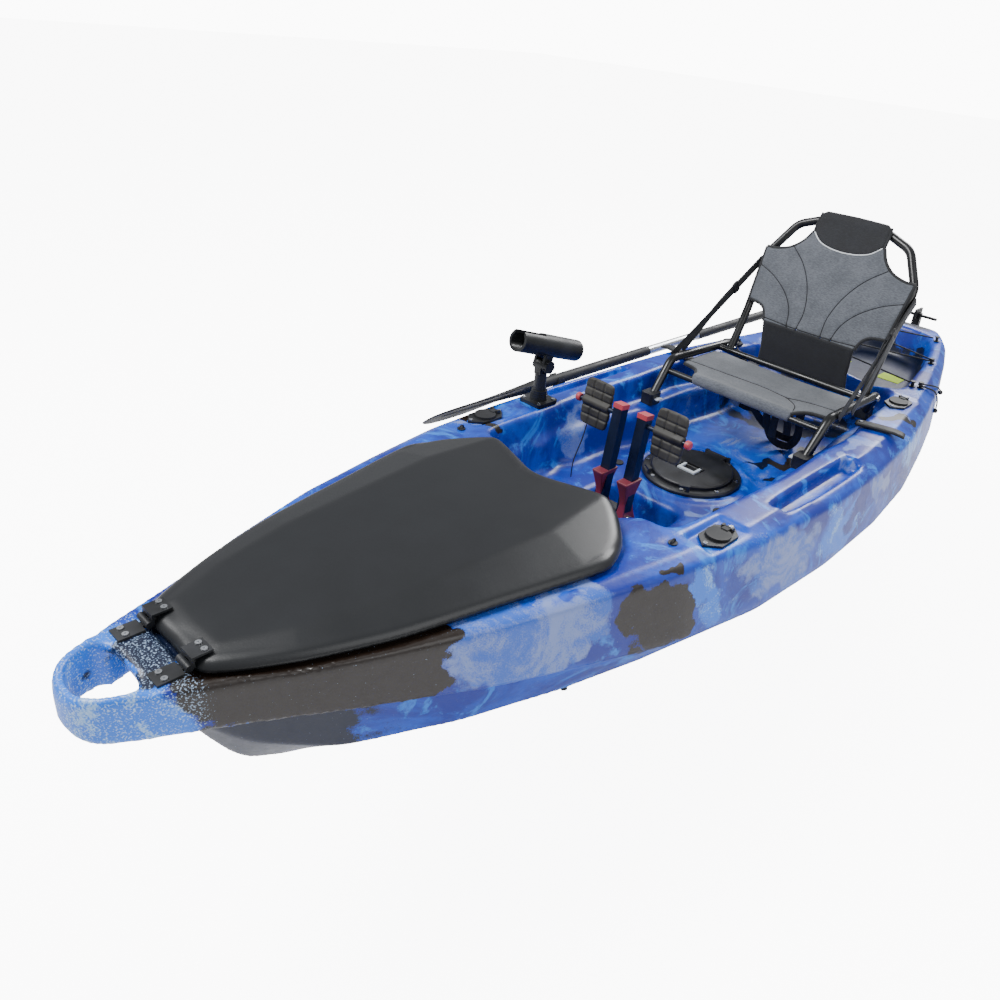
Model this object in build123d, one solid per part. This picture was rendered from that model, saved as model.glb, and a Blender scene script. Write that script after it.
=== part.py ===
from build123d import *
import math
import os

# Sit-on-top pedal fishing kayak.
# Frame: +Z up, -Y bow, +Y stern, +X port.  y = 0 is mid length, z = 0 is the flat keel.

# ---- overall sizes ----
LENGTH = 2950.0
BEAM = 900.0
DRAWN_LENGTH = 2950.0
DRAWN_BEAM = 900.0
HULL_WALL = 5.0

# ---- clearances ----
SEAT_GAP = 0.3
SHAFT_GAP = 0.05
POCKET_GAP = 1.5
FIT_GAP = 0.2

# ---- cockpit and wells ----
COCKPIT_FLOOR = 135.0
LEDGE_HEIGHT = 228.0
DRIVE_WELL_FLOOR = 60.0
DRIVE_SLOT_HALF = 40.0
TANK_FLOOR = 215.0
BIN_FLOOR = 110.0
ABOVE_DECK = 340.0

# ---- front hatch lid ----
LID_THICKNESS = 26.0
LID_CROWN = 16.0
LID_SEAL = 4.0
HINGE_X = 64.0
HINGE_WIDTH = 34.0
HINGE_PIN_R = 3.5
LEAF_LENGTH = 37.0

# ---- round hatch ----
HATCH_Y = 104.0
HATCH_FLANGE_R = 135.0
HATCH_FLANGE_THICK = 12.0
HATCH_LID_R = 112.0
HATCH_LID_THICK = 10.0
HATCH_BORE_R = 98.0
HATCH_BIN_DEPTH = 60.0
SCREW_HEAD_R = 5.0
SCREW_HEAD_H = 2.5

# ---- flush rod holders ----
ROD_BORE_R = 21.0
ROD_TUBE_R = 25.0
ROD_TUBE_LENGTH = 170.0
ROD_TILT = 15.0
ROD_FLANGE_THICK = 6.0
ROD_SPOTS = ((353.0, -344.0), (-353.0, -344.0), (290.0, 694.0), (-290.0, 694.0))

# ---- swivelling rod holder ----
SWIVEL_SPOT = (-335.0, -170.0)
SWIVEL_PLATE = 74.0
SWIVEL_PLATE_THICK = 10.0
SWIVEL_POST_R = 16.0
SWIVEL_POST_HEIGHT = 96.0
CRADLE_R = 29.0
CRADLE_BORE_R = 22.0
CRADLE_LENGTH = 235.0
CRADLE_TILT = 18.0

# ---- pedal drive ----
DRIVE_Y = -240.0
DRIVE_AXLE_Z = 150.0
DRIVE_AXLE_R = 7.0
DRIVE_SPINE_HALF = 19.0
ARM_SIDE = 26.0
ARM_LENGTH = 252.0
ARM_X = 36.0
BRACKET_THICK = 34.0
PAD_WIDTH = 84.0
PAD_HEIGHT = 118.0
PAD_THICK = 20.0
SPINDLE_R = 6.0
FIN_AXLE_R = 5.0
FIN_AXLE_Z = -15.0
FIN_LENGTH = 345.0
FIN_CHORD = 128.0
FIN_MAST_R = 6.0
FIN_PITCH = 170.0
FIN_THICK = 6.0

# ---- seat ----
TUBE_R = 12.5
PIVOT_X = 225.0
PIVOT_Y = 590.0
PIVOT_Z = 335.0
BACK_LEAN = 25.0
FABRIC_THICK = 12.0
STRAP_THICK = 2.5
STRAP_WIDTH = 25.0

# ---- paddle ----
PADDLE_LENGTH = 2100.0
PADDLE_R = 14.5
BLADE_LENGTH = 400.0
BLADE_WIDTH = 170.0
PADDLE_TIP_Y = -443.0
PADDLE_Z = 270.0
CLIP_Y = 37.0

# ---- rudder ----
RUDDER_PIN_R = 5.0
RUDDER_BLADE = 430.0
RUDDER_STANDOFF = 24.0

# ---- cords ----
BUNGEE_R = 2.5
CORD_R = 1.6

os.makedirs("parts", exist_ok=True)


def along(y):
    """A place drawn along the hull, stretched with the hull's length."""
    return y * LENGTH / DRAWN_LENGTH


def across(x):
    """A place drawn across the hull, widened with the hull's beam."""
    return x * BEAM / DRAWN_BEAM


def save(shape, name):
    shape.label = name
    export_step(shape, "parts/" + name + ".step")


def join(pieces):
    result = pieces[0]
    for piece in pieces[1:]:
        result = result + piece
    return result


def at(x, y, z):
    return Location((x, y, z))


def box(x0, x1, y0, y1, z0, z1):
    middle = at((x0 + x1) / 2, (y0 + y1) / 2, (z0 + z1) / 2)
    return middle * Box(abs(x1 - x0), abs(y1 - y0), abs(z1 - z0))


def rod_x(radius, x0, x1, y, z):
    return at((x0 + x1) / 2, y, z) * Rot(0, 90, 0) * Cylinder(radius, abs(x1 - x0))


def rod_y(radius, y0, y1, x, z):
    return at(x, (y0 + y1) / 2, z) * Rot(90, 0, 0) * Cylinder(radius, abs(y1 - y0))


def rod_z(radius, z0, z1, x, y):
    return at(x, y, (z0 + z1) / 2) * Cylinder(radius, abs(z1 - z0))


def both_sides(half):
    """A closed outline from its port half, listed bow to stern."""
    port = [p for p in half if p[0] > 0]
    ends = [p for p in half if p[0] == 0]
    bow = [p for p in ends if p[1] < port[0][1] + 200]
    stern = [p for p in ends if p not in bow]
    starboard = [(-x, y) for x, y in reversed(port)]
    return bow[:1] + port + stern[:1] + starboard


def hull_outline(half):
    return both_sides([(across(x), along(y)) for x, y in half])


def flat(points, z):
    return Plane.XY.offset(z) * make_face(Polyline(*points, close=True))


def pocket(top, floor, z_top, z_floor, grow=0.0):
    """A tapered well between two outlines; grow makes the skin round it."""
    upper = flat(top, z_top)
    lower = flat(floor, z_floor - grow)
    if grow > 0:
        upper = offset(upper, amount=grow, kind=Kind.INTERSECTION)
        lower = offset(lower, amount=grow, kind=Kind.INTERSECTION)
    return loft([lower, upper], ruled=True)


# ------------------------------------------------------------------ hull
# Offsets of each station: y, crease, gunwale edge, chine, under-chine, bilge, keel (half-breadth, height).
STATIONS = (
    (-1472, (30, 318), (32, 316), (30, 242), (24, 240), (12, 238), (6, 236)),
    (-1456, (52, 319), (55, 317), (52, 239), (44, 236), (22, 234), (8, 232)),
    (-1425, (70, 318), (75, 315), (71, 236), (60, 232), (30, 228), (10, 226)),
    (-1385, (84, 317), (90, 313), (86, 231), (74, 226), (34, 220), (12, 216)),
    (-1320, (111, 312), (118, 308), (111, 222), (60, 216), (34, 200), (15, 188)),
    (-1280, (126, 311), (134, 306), (126, 217), (60, 210), (46, 150), (20, 112)),
    (-1230, (146, 310), (155, 305), (147, 211), (76, 204), (70, 108), (30, 38)),
    (-1150, (181, 309), (192, 304), (184, 203), (116, 195), (105, 72), (40, 4)),
    (-1100, (200, 308), (214, 304), (206, 198), (150, 188), (135, 60), (48, -4)),
    (-900, (269, 308), (287, 302), (288, 177), (255, 164), (215, 48), (62, -4)),
    (-700, (311, 307), (338, 297), (350, 158), (330, 140), (275, 42), (74, -4)),
    (-500, (348, 306), (382, 292), (405, 142), (390, 120), (320, 36), (84, -4)),
    (-250, (376, 298), (417, 278), (441, 132), (428, 105), (350, 32), (94, -4)),
    (50, (380, 297), (432, 268), (450, 122), (438, 95), (360, 30), (100, -4)),
    (300, (376, 298), (425, 268), (444, 122), (430, 95), (350, 30), (100, -4)),
    (550, (356, 301), (402, 272), (416, 124), (402, 98), (325, 33), (98, -4)),
    (800, (311, 306), (350, 280), (362, 132), (348, 106), (282, 36), (88, -4)),
    (1000, (266, 315), (298, 290), (312, 140), (300, 115), (235, 40), (76, -4)),
    (1200, (212, 322), (238, 300), (250, 150), (238, 126), (180, 50), (60, 4)),
    (1350, (164, 328), (185, 305), (192, 168), (180, 146), (130, 75), (45, 24)),
    (1440, (114, 330), (135, 309), (138, 184), (128, 166), (85, 110), (30, 62)),
    (1472, (60, 329), (76, 310), (78, 190), (70, 176), (42, 150), (18, 112)),
)


def section(y, half, lift=0.0, trim=0.0):
    """One hull section as a face; lift and trim shrink it inwards."""
    crease, edge, chine, under, bilge, keel = [(across(x), z) for x, z in half]
    port = [
        (crease[0] - trim, crease[1] - lift),
        (edge[0] - trim, edge[1] - lift),
        (chine[0] - trim, chine[1] + lift / 3),
        (under[0] - trim, under[1] + lift),
        (bilge[0] - trim, bilge[1] + lift),
        (max(keel[0] - trim / 2, 3), max(keel[1], 0) + lift if lift else keel[1]),
    ]
    starboard = [(-x, z) for x, z in reversed(port)]
    points = [Vector(x, along(y), z) for x, z in port + starboard]
    return make_face(Polyline(*points, close=True))


def deck(y):
    """Crease and gunwale edge of the deck at a drawn y."""
    for near, far in zip(STATIONS, STATIONS[1:]):
        if near[0] <= y <= far[0]:
            share = (y - near[0]) / (far[0] - near[0])
            pairs = zip(near[1] + near[2], far[1] + far[2])
            return [a + (b - a) * share for a, b in pairs]
    return list(STATIONS[-1][1] + STATIONS[-1][2])


def deck_height(x, y):
    """Height of the deck at a drawn place."""
    crease_x, crease_z, edge_x, edge_z = deck(y)
    share = (abs(x) - crease_x) / (edge_x - crease_x)
    share = min(max(share, 0.0), 1.0)
    return crease_z + (edge_z - crease_z) * share


def seat_height(x, y, half_x, half_y):
    """The lowest deck under a fitting, so that it sits in a shallow flat recess."""
    corners = [(x + i * half_x, y + j * half_y) for i in (-1, 1) for j in (-1, 1)]
    return min(deck_height(*c) for c in corners) - 1.0


def real(spot):
    return across(spot[0]), along(spot[1])


LID_HALF = (
    (0, -1312), (92, -1306), (160, -1189), (214, -1044), (255, -865),
    (296, -680), (300, -620), (262, -545), (165, -478), (0, -522),
)
LID_SEAT = min(deck_height(x, y) for x, y in LID_HALF) - 3.0
BIN_TOP = ((0, -1200), (60, -1190), (150, -1030), (215, -860), (245, -680), (200, -590), (0, -590))
BIN_BASE = ((0, -1120), (30, -1110), (80, -1000), (120, -850), (150, -700), (130, -630), (0, -630))
COCKPIT_TOP = (
    (0, -535), (150, -500), (215, -425), (285, -395), (298, -190), (310, 0),
    (300, 210), (304, 365), (284, 500), (238, 770), (0, 770),
)
COCKPIT_LEDGE = (
    (0, -520), (135, -490), (200, -415), (262, -385), (275, -190), (284, 0),
    (282, 210), (284, 365), (262, 500), (220, 760), (0, 760),
)
FOOT_TOP = (
    (0, -512), (125, -480), (190, -405), (246, -368), (252, -190), (254, 0),
    (226, 150), (226, 365), (212, 500), (188, 745), (0, 745),
)
FOOT_FLOOR = (
    (0, -500), (115, -470), (180, -396), (234, -358), (238, -190), (240, 0),
    (214, 150), (214, 365), (200, 500), (178, 735), (0, 735),
)
DRIVE_WELL = ((0, -385), (100, -380), (110, -240), (100, -100), (0, -95))
DRIVE_SLOT = ((0, -380), (DRIVE_SLOT_HALF, -378), (DRIVE_SLOT_HALF, -102), (0, -100))
TANK_TOP = ((0, 800), (238, 800), (228, 1000), (188, 1180), (122, 1350), (0, 1392))
TANK_BASE = ((0, 822), (208, 822), (200, 990), (164, 1165), (100, 1325), (0, 1362))
SIDE_RECESS = (
    (352, -110), (372, -128), (386, -120), (394, 0), (392, 220), (380, 240), (362, 236), (352, 210),
)
RING_HOLE = ((0, -1446), (28, -1442), (46, -1428), (57, -1394), (0, -1390))


def rod_place(spot, z):
    """Where a flush rod holder's own origin sits, its tube leaning towards the bow at the foot."""
    x, y = real(spot)
    return at(x, y, z) * Rot(-ROD_TILT, 0, 0)


def rod_seat(spot):
    return seat_height(spot[0], spot[1], 32, 58)


def rod_flange(grow=0.0):
    """The elongated hexagon of a flush rod holder."""
    half = ((0, -58), (30, -30), (30, 30), (0, 58))
    points = [half[0], half[1], half[2], half[3], (-30, 30), (-30, -30)]
    face = make_face(Polyline(*points, close=True))
    if grow > 0:
        face = offset(face, amount=grow, kind=Kind.INTERSECTION)
    return face


def rod_sleeve(spot, radius, extra):
    """The round well for a rod holder's tube, in place."""
    tube = at(0, 0, -(ROD_TUBE_LENGTH + extra) / 2 + 15) * Cylinder(radius, ROD_TUBE_LENGTH + extra + 30)
    return rod_place(spot, rod_seat(spot)) * tube


def hull_wells(grow):
    """Every well in the hull; grow gives the skin round each."""
    full = ABOVE_DECK + 20
    wells = [
        pocket(hull_outline(COCKPIT_TOP), hull_outline(COCKPIT_LEDGE), full, LEDGE_HEIGHT, grow),
        pocket(hull_outline(FOOT_TOP), hull_outline(FOOT_FLOOR), LEDGE_HEIGHT + 1, COCKPIT_FLOOR, grow),
        pocket(hull_outline(BIN_TOP), hull_outline(BIN_BASE), full, BIN_FLOOR, grow),
        pocket(hull_outline(TANK_TOP), hull_outline(TANK_BASE), full, TANK_FLOOR, grow),
    ]
    well = [(x, DRIVE_Y * LENGTH / DRAWN_LENGTH + y + 240) for x, y in both_sides(DRIVE_WELL)]
    slot = [(x, DRIVE_Y * LENGTH / DRAWN_LENGTH + y + 240) for x, y in both_sides(DRIVE_SLOT)]
    wells.append(pocket(well, well, COCKPIT_FLOOR + 1, DRIVE_WELL_FLOOR, grow))
    wells.append(pocket(slot, slot, DRIVE_WELL_FLOOR + 1, -60, grow))
    bin_floor = COCKPIT_FLOOR - HATCH_BIN_DEPTH - grow
    wells.append(rod_z(HATCH_BORE_R + 6 + grow, bin_floor, COCKPIT_FLOOR + 1, 0, along(HATCH_Y)))
    for spot in ROD_SPOTS:
        wells.append(rod_sleeve(spot, ROD_TUBE_R + SEAT_GAP + grow, 1.0 + grow))
    for side in (1, -1):
        recess = [(side * across(x), along(y)) for x, y in SIDE_RECESS]
        wells.append(pocket(recess, recess, full, 262, grow))
    return wells


def make_hull():
    body = loft([section(row[0], row[1:]) for row in STATIONS], ruled=True)
    body = body - box(-BEAM, BEAM, -LENGTH, LENGTH, -50, 0)
    hollow = loft([section(row[0], row[1:], HULL_WALL, HULL_WALL + 2) for row in STATIONS[5:21]], ruled=True)
    for well in hull_wells(HULL_WALL):
        hollow = hollow - well
    lid_cut = offset(flat(hull_outline(LID_HALF), LID_SEAT), amount=3.0, kind=Kind.INTERSECTION)
    hollow = hollow - box(-BEAM, BEAM, along(-1330), along(-470), LID_SEAT - HULL_WALL, ABOVE_DECK)
    hollow = hollow - box(-60, 60, along(1330), along(1480), 0, 400)
    for well in hull_wells(0.0):
        body = body - well
    ring = hull_outline(RING_HOLE)
    body = body - pocket(ring, ring, 420, 100)
    body = body - extrude(lid_cut, amount=80)
    for spot in ROD_SPOTS:
        z = rod_seat(spot)
        x, y = real(spot)
        body = body - at(x, y, z) * extrude(rod_flange(POCKET_GAP), amount=80)
    x, y = real(SWIVEL_SPOT)
    half = SWIVEL_PLATE / 2 + POCKET_GAP
    body = body - box(x - half, x + half, y - half, y + half, SWIVEL_Z, SWIVEL_Z + 80)
    return body, hollow


SWIVEL_Z = seat_height(SWIVEL_SPOT[0], SWIVEL_SPOT[1], SWIVEL_PLATE / 2, SWIVEL_PLATE / 2)
HINGE_Y = -1318.0
HINGE_SEAT = seat_height(HINGE_X, -1346, HINGE_WIDTH / 2, 22)
LID_BASE = LID_SEAT + LID_SEAL
LID_TOP = LID_BASE + LID_THICKNESS


def screw(x, y, z):
    """A round stainless screw head with a hexagon socket, standing on z."""
    head = rod_z(SCREW_HEAD_R, z, z + SCREW_HEAD_H, x, y)
    socket = at(x, y, z + 1.2) * extrude(RegularPolygon(2.0, 6), amount=SCREW_HEAD_H)
    return head - socket


def tube(points, radius, bends):
    """A round tube or cord along straight runs joined by arcs."""
    path = FilletPolyline(*points, radius=bends)
    start = Plane(origin=path @ 0, z_dir=path % 0)
    return sweep(start * Circle(radius), path=path)


def limp_bends(points):
    """The largest arc each corner of a cord's route allows."""
    radii = []
    for before, here, after in zip(points, points[1:], points[2:]):
        first = Vector(*here) - Vector(*before)
        second = Vector(*after) - Vector(*here)
        turn = math.radians(first.get_angle(second))
        radii.append(0.45 * min(first.length, second.length) / math.tan(turn / 2))
    return radii


# ------------------------------------------------------------------ front hatch
def make_lid():
    outline = flat(hull_outline(LID_HALF), LID_BASE)
    rim = extrude(outline, amount=LID_THICKNESS)
    crown_base = flat(hull_outline(LID_HALF), LID_TOP)
    crown_top = at(0, 0, LID_CROWN) * offset(crown_base, amount=-46, kind=Kind.INTERSECTION)
    crown = loft([offset(crown_base, amount=-10, kind=Kind.INTERSECTION), crown_top], ruled=True)
    inner_outline = offset(outline, amount=-8, kind=Kind.INTERSECTION)
    inside = at(0, 0, -1) * extrude(inner_outline, amount=LID_THICKNESS - 4)
    low = at(0, 0, -5.1) * offset(crown_base, amount=-16, kind=Kind.INTERSECTION)
    high = at(0, 0, LID_CROWN - 5) * offset(crown_base, amount=-52, kind=Kind.INTERSECTION)
    lid = rim + crown - inside - loft([low, high], ruled=True)
    for side in (1, -1):
        x = side * across(HINGE_X)
        half = HINGE_WIDTH / 2 + POCKET_GAP
        far = along(HINGE_Y) + LEAF_LENGTH + 2
        lid = lid - box(x - half, x + half, along(HINGE_Y) - 20, far, LID_TOP, LID_TOP + 40)
    return lid


def make_lid_seal():
    outline = flat(hull_outline(LID_HALF), LID_SEAT)
    outer = offset(outline, amount=-12, kind=Kind.INTERSECTION)
    inner = offset(outline, amount=-20, kind=Kind.INTERSECTION)
    return extrude(outer, amount=LID_SEAL - SEAT_GAP) - extrude(inner, amount=LID_SEAL)


def make_lid_trim():
    """The double rubber ridge along the lid's hollow rear edge."""
    ridge = 6.0
    middle, corner = real(LID_HALF[-1]), real(LID_HALF[-2])
    rise = corner[1] - middle[1]
    off = (ridge + SEAT_GAP) * math.hypot(rise, corner[0]) / corner[0]
    end = (corner[0] * 0.9, middle[1] + rise * 0.9 + off)
    ridges = []
    for z in (LID_TOP - 5, LID_TOP - 5 - 2 * ridge - SEAT_GAP):
        points = [(-end[0], end[1], z), (0, middle[1] + off, z), (end[0], end[1], z)]
        ridges.append(tube(points, ridge, [60.0]))
    return ridges


def make_hinges():
    bases = []
    leaves = []
    pins = []
    y = along(HINGE_Y)
    z = HINGE_SEAT + 8
    knuckle = 6.0
    for side in (1, -1):
        x = side * across(HINGE_X)
        half = HINGE_WIDTH / 2
        plate = box(x - half, x + half, y - 48, y - knuckle - 1, HINGE_SEAT, HINGE_SEAT + 4)
        web = box(x - 6, x + 6, y - knuckle - 2, y, HINGE_SEAT, HINGE_SEAT + 4)
        base = plate + web + rod_x(knuckle, x - 6, x + 6, y, z)
        bases.append(base - rod_x(HINGE_PIN_R + SHAFT_GAP, x - 7, x + 7, y, z))
        upright = box(x - half, x + half, y + knuckle - 2, y + knuckle + 2, z - 2, LID_TOP + 4)
        top = box(x - half, x + half, y + knuckle - 2, y + LEAF_LENGTH, LID_TOP + SEAT_GAP, LID_TOP + 4)
        leaf = upright + top
        for start in (x - half, x + 6 + FIT_GAP):
            leaf = leaf + rod_x(knuckle, start, start + half - 6 - FIT_GAP, y, z)
        leaf = leaf - box(x - 6 - FIT_GAP, x + 6 + FIT_GAP, y - 10, y + knuckle + 3, z - 10, z + 8)
        leaves.append(leaf - rod_x(HINGE_PIN_R + SHAFT_GAP, x - half - 1, x + half + 1, y, z))
        pins.append(rod_x(HINGE_PIN_R, x - half, x + half, y, z))
    return bases, leaves, pins


# ------------------------------------------------------------------ round hatch
def make_round_hatch():
    y = along(HATCH_Y)
    floor = COCKPIT_FLOOR
    deck_top = floor + HATCH_FLANGE_THICK
    ring = rod_z(HATCH_FLANGE_R, floor, deck_top, 0, y)
    ring = chamfer(ring.edges().group_by(Axis.Z)[-1], 4)
    ring = ring + rod_z(HATCH_BORE_R + 6 - SEAT_GAP, floor - 40, floor + 1, 0, y)
    ring = ring - rod_z(HATCH_BORE_R, floor - 41, deck_top + 1, 0, y)
    hinge_y = y + HATCH_FLANGE_R - 7
    hinge_z = deck_top + 6
    for side in (1, -1):
        ring = ring + box(side * 31, side * 40, hinge_y - 6, hinge_y + 5, deck_top - 5, hinge_z + 5)
    ring = ring + rod_x(3.0, -40, 40, hinge_y, hinge_z)
    base = deck_top + SEAT_GAP
    lid = rod_z(HATCH_LID_R, base, base + HATCH_LID_THICK, 0, y)
    lid = chamfer(lid.edges().group_by(Axis.Z)[-1], 3)
    lid = lid + rod_z(HATCH_BORE_R - 3, base - 8, base + 1, 0, y)
    lid = lid + box(-30, 30, y + HATCH_LID_R - 12, hinge_y, base + 1, hinge_z + 4)
    lid = lid + rod_x(5.0, -30, 30, hinge_y, hinge_z)
    lid = lid - rod_x(3.0 + SHAFT_GAP, -31, 31, hinge_y, hinge_z)
    lid_top = base + HATCH_LID_THICK
    lid = lid - box(-34, 34, y - 36, y + 14, lid_top - 6, lid_top + 5)
    lugs = [box(s * 29, s * 33.9, y - 2, y + 8, lid_top - 6.5, lid_top + 3) for s in (1, -1)]
    lid = join([lid] + lugs) + rod_x(2.0, -30, 30, y + 3, lid_top - 1)
    bar = box(-24, 24, y - 32, y - 22, lid_top - 4, lid_top + 2)
    legs = [box(s * 20, s * 27, y - 32, y + 5.5, lid_top - 4, lid_top + 2) for s in (1, -1)]
    handle = join([bar] + legs) - rod_x(2.0 + SHAFT_GAP, -31, 31, y + 3, lid_top - 1)
    latches = []
    for turn in (150, 210):
        reach = HATCH_FLANGE_R - 9
        x = reach * math.sin(math.radians(turn))
        dy = reach * math.cos(math.radians(turn))
        post = rod_z(5.5, deck_top + SEAT_GAP, lid_top + 1, 0, 0)
        arm = box(-6, 22, -5.5, 5.5, lid_top + 1, lid_top + 6)
        latches.append(at(x, y + dy, 0) * Rot(0, 0, -turn) * (post + arm))
    return ring, lid, handle, latches


# ------------------------------------------------------------------ rod holders
def make_rod_holders():
    bodies = []
    caps = []
    for spot in ROD_SPOTS:
        place = at(*real(spot), rod_seat(spot))
        slant = rod_place(spot, rod_seat(spot))
        tube_part = at(0, 0, -ROD_TUBE_LENGTH / 2) * Cylinder(ROD_TUBE_R, ROD_TUBE_LENGTH)
        bore = at(0, 0, -ROD_TUBE_LENGTH / 2 + 4 + 15) * Cylinder(ROD_BORE_R, ROD_TUBE_LENGTH + 30)
        flange = place * extrude(rod_flange(), amount=ROD_FLANGE_THICK)
        body = slant * tube_part
        body = body - box(-BEAM, BEAM, -LENGTH, LENGTH, rod_seat(spot), 900)
        body = body + flange - slant * bore
        hinge_z = ROD_FLANGE_THICK + 4.5
        for side in (1, -1):
            ear = box(side * 8.3, side * 14, 29, 39, ROD_FLANGE_THICK - 1, ROD_FLANGE_THICK + 9)
            body = body + place * ear
        body = body + place * rod_x(2.0, -14, 14, 34, hinge_z)
        bodies.append(body)
        cap = rod_z(27.0, ROD_FLANGE_THICK + SEAT_GAP, ROD_FLANGE_THICK + 5, 0, 0)
        cap = cap + box(-8, 8, 20, 34, ROD_FLANGE_THICK + 2, ROD_FLANGE_THICK + 7)
        cap = cap + rod_x(4.0, -8, 8, 34, hinge_z)
        cap = cap - rod_x(2.0 + SHAFT_GAP, -9, 9, 34, hinge_z)
        caps.append(place * cap)
    return bodies, caps


def make_swivel_holder():
    x, y = real(SWIVEL_SPOT)
    half = SWIVEL_PLATE / 2
    z = SWIVEL_Z
    plate = fillet(box(x - half, x + half, y - half, y + half, z, z + SWIVEL_PLATE_THICK).edges() | Axis.Z, 8)
    collar_top = z + SWIVEL_PLATE_THICK + 16
    plate = plate + rod_z(SWIVEL_POST_R + 7, z + 5, collar_top, x, y)
    plate = plate - rod_z(SWIVEL_POST_R + SHAFT_GAP, z + 4, collar_top + 1, x, y)
    post_top = z + SWIVEL_PLATE_THICK + SWIVEL_POST_HEIGHT
    post = rod_z(SWIVEL_POST_R, z + 4 + SEAT_GAP, post_top - 20, x, y)
    post = post + rod_z(SWIVEL_POST_R + 5, collar_top + SEAT_GAP, collar_top + 10, x, y)
    eye = box(x - 11, x + 11, y - 15, y + 15, post_top - 24, post_top)
    eye = eye + rod_x(15.0, x - 11, x + 11, y, post_top)
    post = post + eye - rod_x(6.0 + SHAFT_GAP, x - 12, x + 12, y, post_top)
    cradle_z = post_top + CRADLE_R + 22
    tilt = at(x, y, post_top) * Rot(-CRADLE_TILT, 0, 0)
    rise = cradle_z - post_top
    cradle = rod_y(CRADLE_R, -CRADLE_LENGTH / 2, CRADLE_LENGTH / 2, 0, rise)
    for side in (1, -1):
        cradle = cradle + box(side * 11.3, side * 19, -15, 15, -2, rise - CRADLE_R / 2)
        cradle = cradle + rod_x(15.0, side * 11.3, side * 19, 0, 0)
    cradle = cradle - rod_y(CRADLE_BORE_R, -CRADLE_LENGTH, CRADLE_LENGTH, 0, rise)
    cradle = cradle - box(-15, 15, -CRADLE_LENGTH, -30, rise, rise + 60)
    cradle = cradle + rod_x(6.0, -19, 12, 0, 0)
    cradle = cradle - rod_x(4.0 + SHAFT_GAP, 0, 20, 0, 0)
    knob = rod_x(4.0, 1, 23, 0, 0) + rod_x(17.0, 19.3, 31, 0, 0)
    for turn in range(0, 360, 60):
        knob = knob - Rot(turn, 0, 0) * rod_x(3.0, 22, 32, 0, 18)
    return plate, post, tilt * cradle, tilt * knob


# ------------------------------------------------------------------ pedal drive
def make_drive():
    y = along(DRIVE_Y)
    z = DRIVE_AXLE_Z
    half = DRIVE_SPINE_HALF
    spine = box(-half, half, y - 104, y + 104, 0, DRIVE_WELL_FLOOR + 20)
    side = Plane.YZ.offset(-half) * make_face(
        Polyline(
            (y - 70, DRIVE_WELL_FLOOR + 10), (y + 70, DRIVE_WELL_FLOOR + 10),
            (y + 20, z + 12), (y - 20, z + 12), close=True,
        )
    )
    spine = spine + extrude(side, amount=2 * half)
    plate = box(-92, 92, y - 128, y + 128, DRIVE_WELL_FLOOR, DRIVE_WELL_FLOOR + 10)
    spine = spine + plate
    for dy in (-108, 0, 108):
        spine = spine + box(-11, 11, y + dy - 4, y + dy + 4, FIN_AXLE_Z - 11, 4)
    spine = spine - rod_x(DRIVE_AXLE_R + SHAFT_GAP, -half - 1, half + 1, y, z)
    spine = spine - rod_y(FIN_AXLE_R + SHAFT_GAP, y - 120, y + 120, 0, FIN_AXLE_Z)
    axles = [rod_x(DRIVE_AXLE_R, -60, 60, y, z), rod_y(FIN_AXLE_R, y - 114, y + 114, 0, FIN_AXLE_Z)]
    return spine, axles


CRANK_LEAN = 7.5


def make_crank(side):
    """Bracket, arm, arm cap and pedal pad on one side of the drive."""
    place = at(0, along(DRIVE_Y), DRIVE_AXLE_Z) * Rot(-CRANK_LEAN, 0, 0)
    inner = DRIVE_SPINE_HALF + 2
    outer = ARM_X + ARM_SIDE / 2 + 6
    cheek = (
        (-20, -24), (20, -24), (26, -4), (14, 34), (28, 70),
        (24, 96), (-24, 96), (-28, 70), (-14, 34), (-26, -4),
    )
    plate = extrude(Plane.YZ.offset(inner) * make_face(Polyline(*cheek, close=True)), amount=outer - inner)
    half = ARM_SIDE / 2
    foot = 14.0
    bracket = plate - box(
        ARM_X - half - FIT_GAP, ARM_X + half + FIT_GAP, -half - FIT_GAP, half + FIT_GAP, foot, 120
    )
    bracket = bracket - rod_x(DRIVE_AXLE_R + SHAFT_GAP, inner - 1, outer + 1, 0, 0)
    arm = box(ARM_X - half, ARM_X + half, -half, half, foot + SEAT_GAP, ARM_LENGTH)
    spindle_z = ARM_LENGTH - 16
    spindle = rod_x(SPINDLE_R, ARM_X, 167, 0, spindle_z) + rod_x(9.0, 162, 167, 0, spindle_z)
    arm = arm + spindle
    cap = box(ARM_X - half - 1, ARM_X + half + 1, -half - 1, half + 1, ARM_LENGTH + SEAT_GAP, ARM_LENGTH + 12)
    start = ARM_X + half + 18
    pad_middle = start + PAD_WIDTH / 2
    face = RectangleRounded(PAD_WIDTH, PAD_HEIGHT, 26)
    pad = at(0, 0, -PAD_THICK / 2) * extrude(face, amount=PAD_THICK)
    pad = at(pad_middle, 0, spindle_z) * Rot(90, 0, 0) * pad
    for dz in (-40, -18, 22, 42):
        pad = pad - box(start - 1, start + PAD_WIDTH + 1, 7, 12, spindle_z + dz - 2, spindle_z + dz + 2)
    pad = pad - rod_x(SPINDLE_R + SHAFT_GAP, start - 1, start + PAD_WIDTH + 1, 0, spindle_z)
    pieces = []
    for piece in (bracket, arm, cap, pad):
        piece = place * piece
        pieces.append(piece if side > 0 else mirror(piece, about=Plane.YZ))
    return pieces


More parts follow.
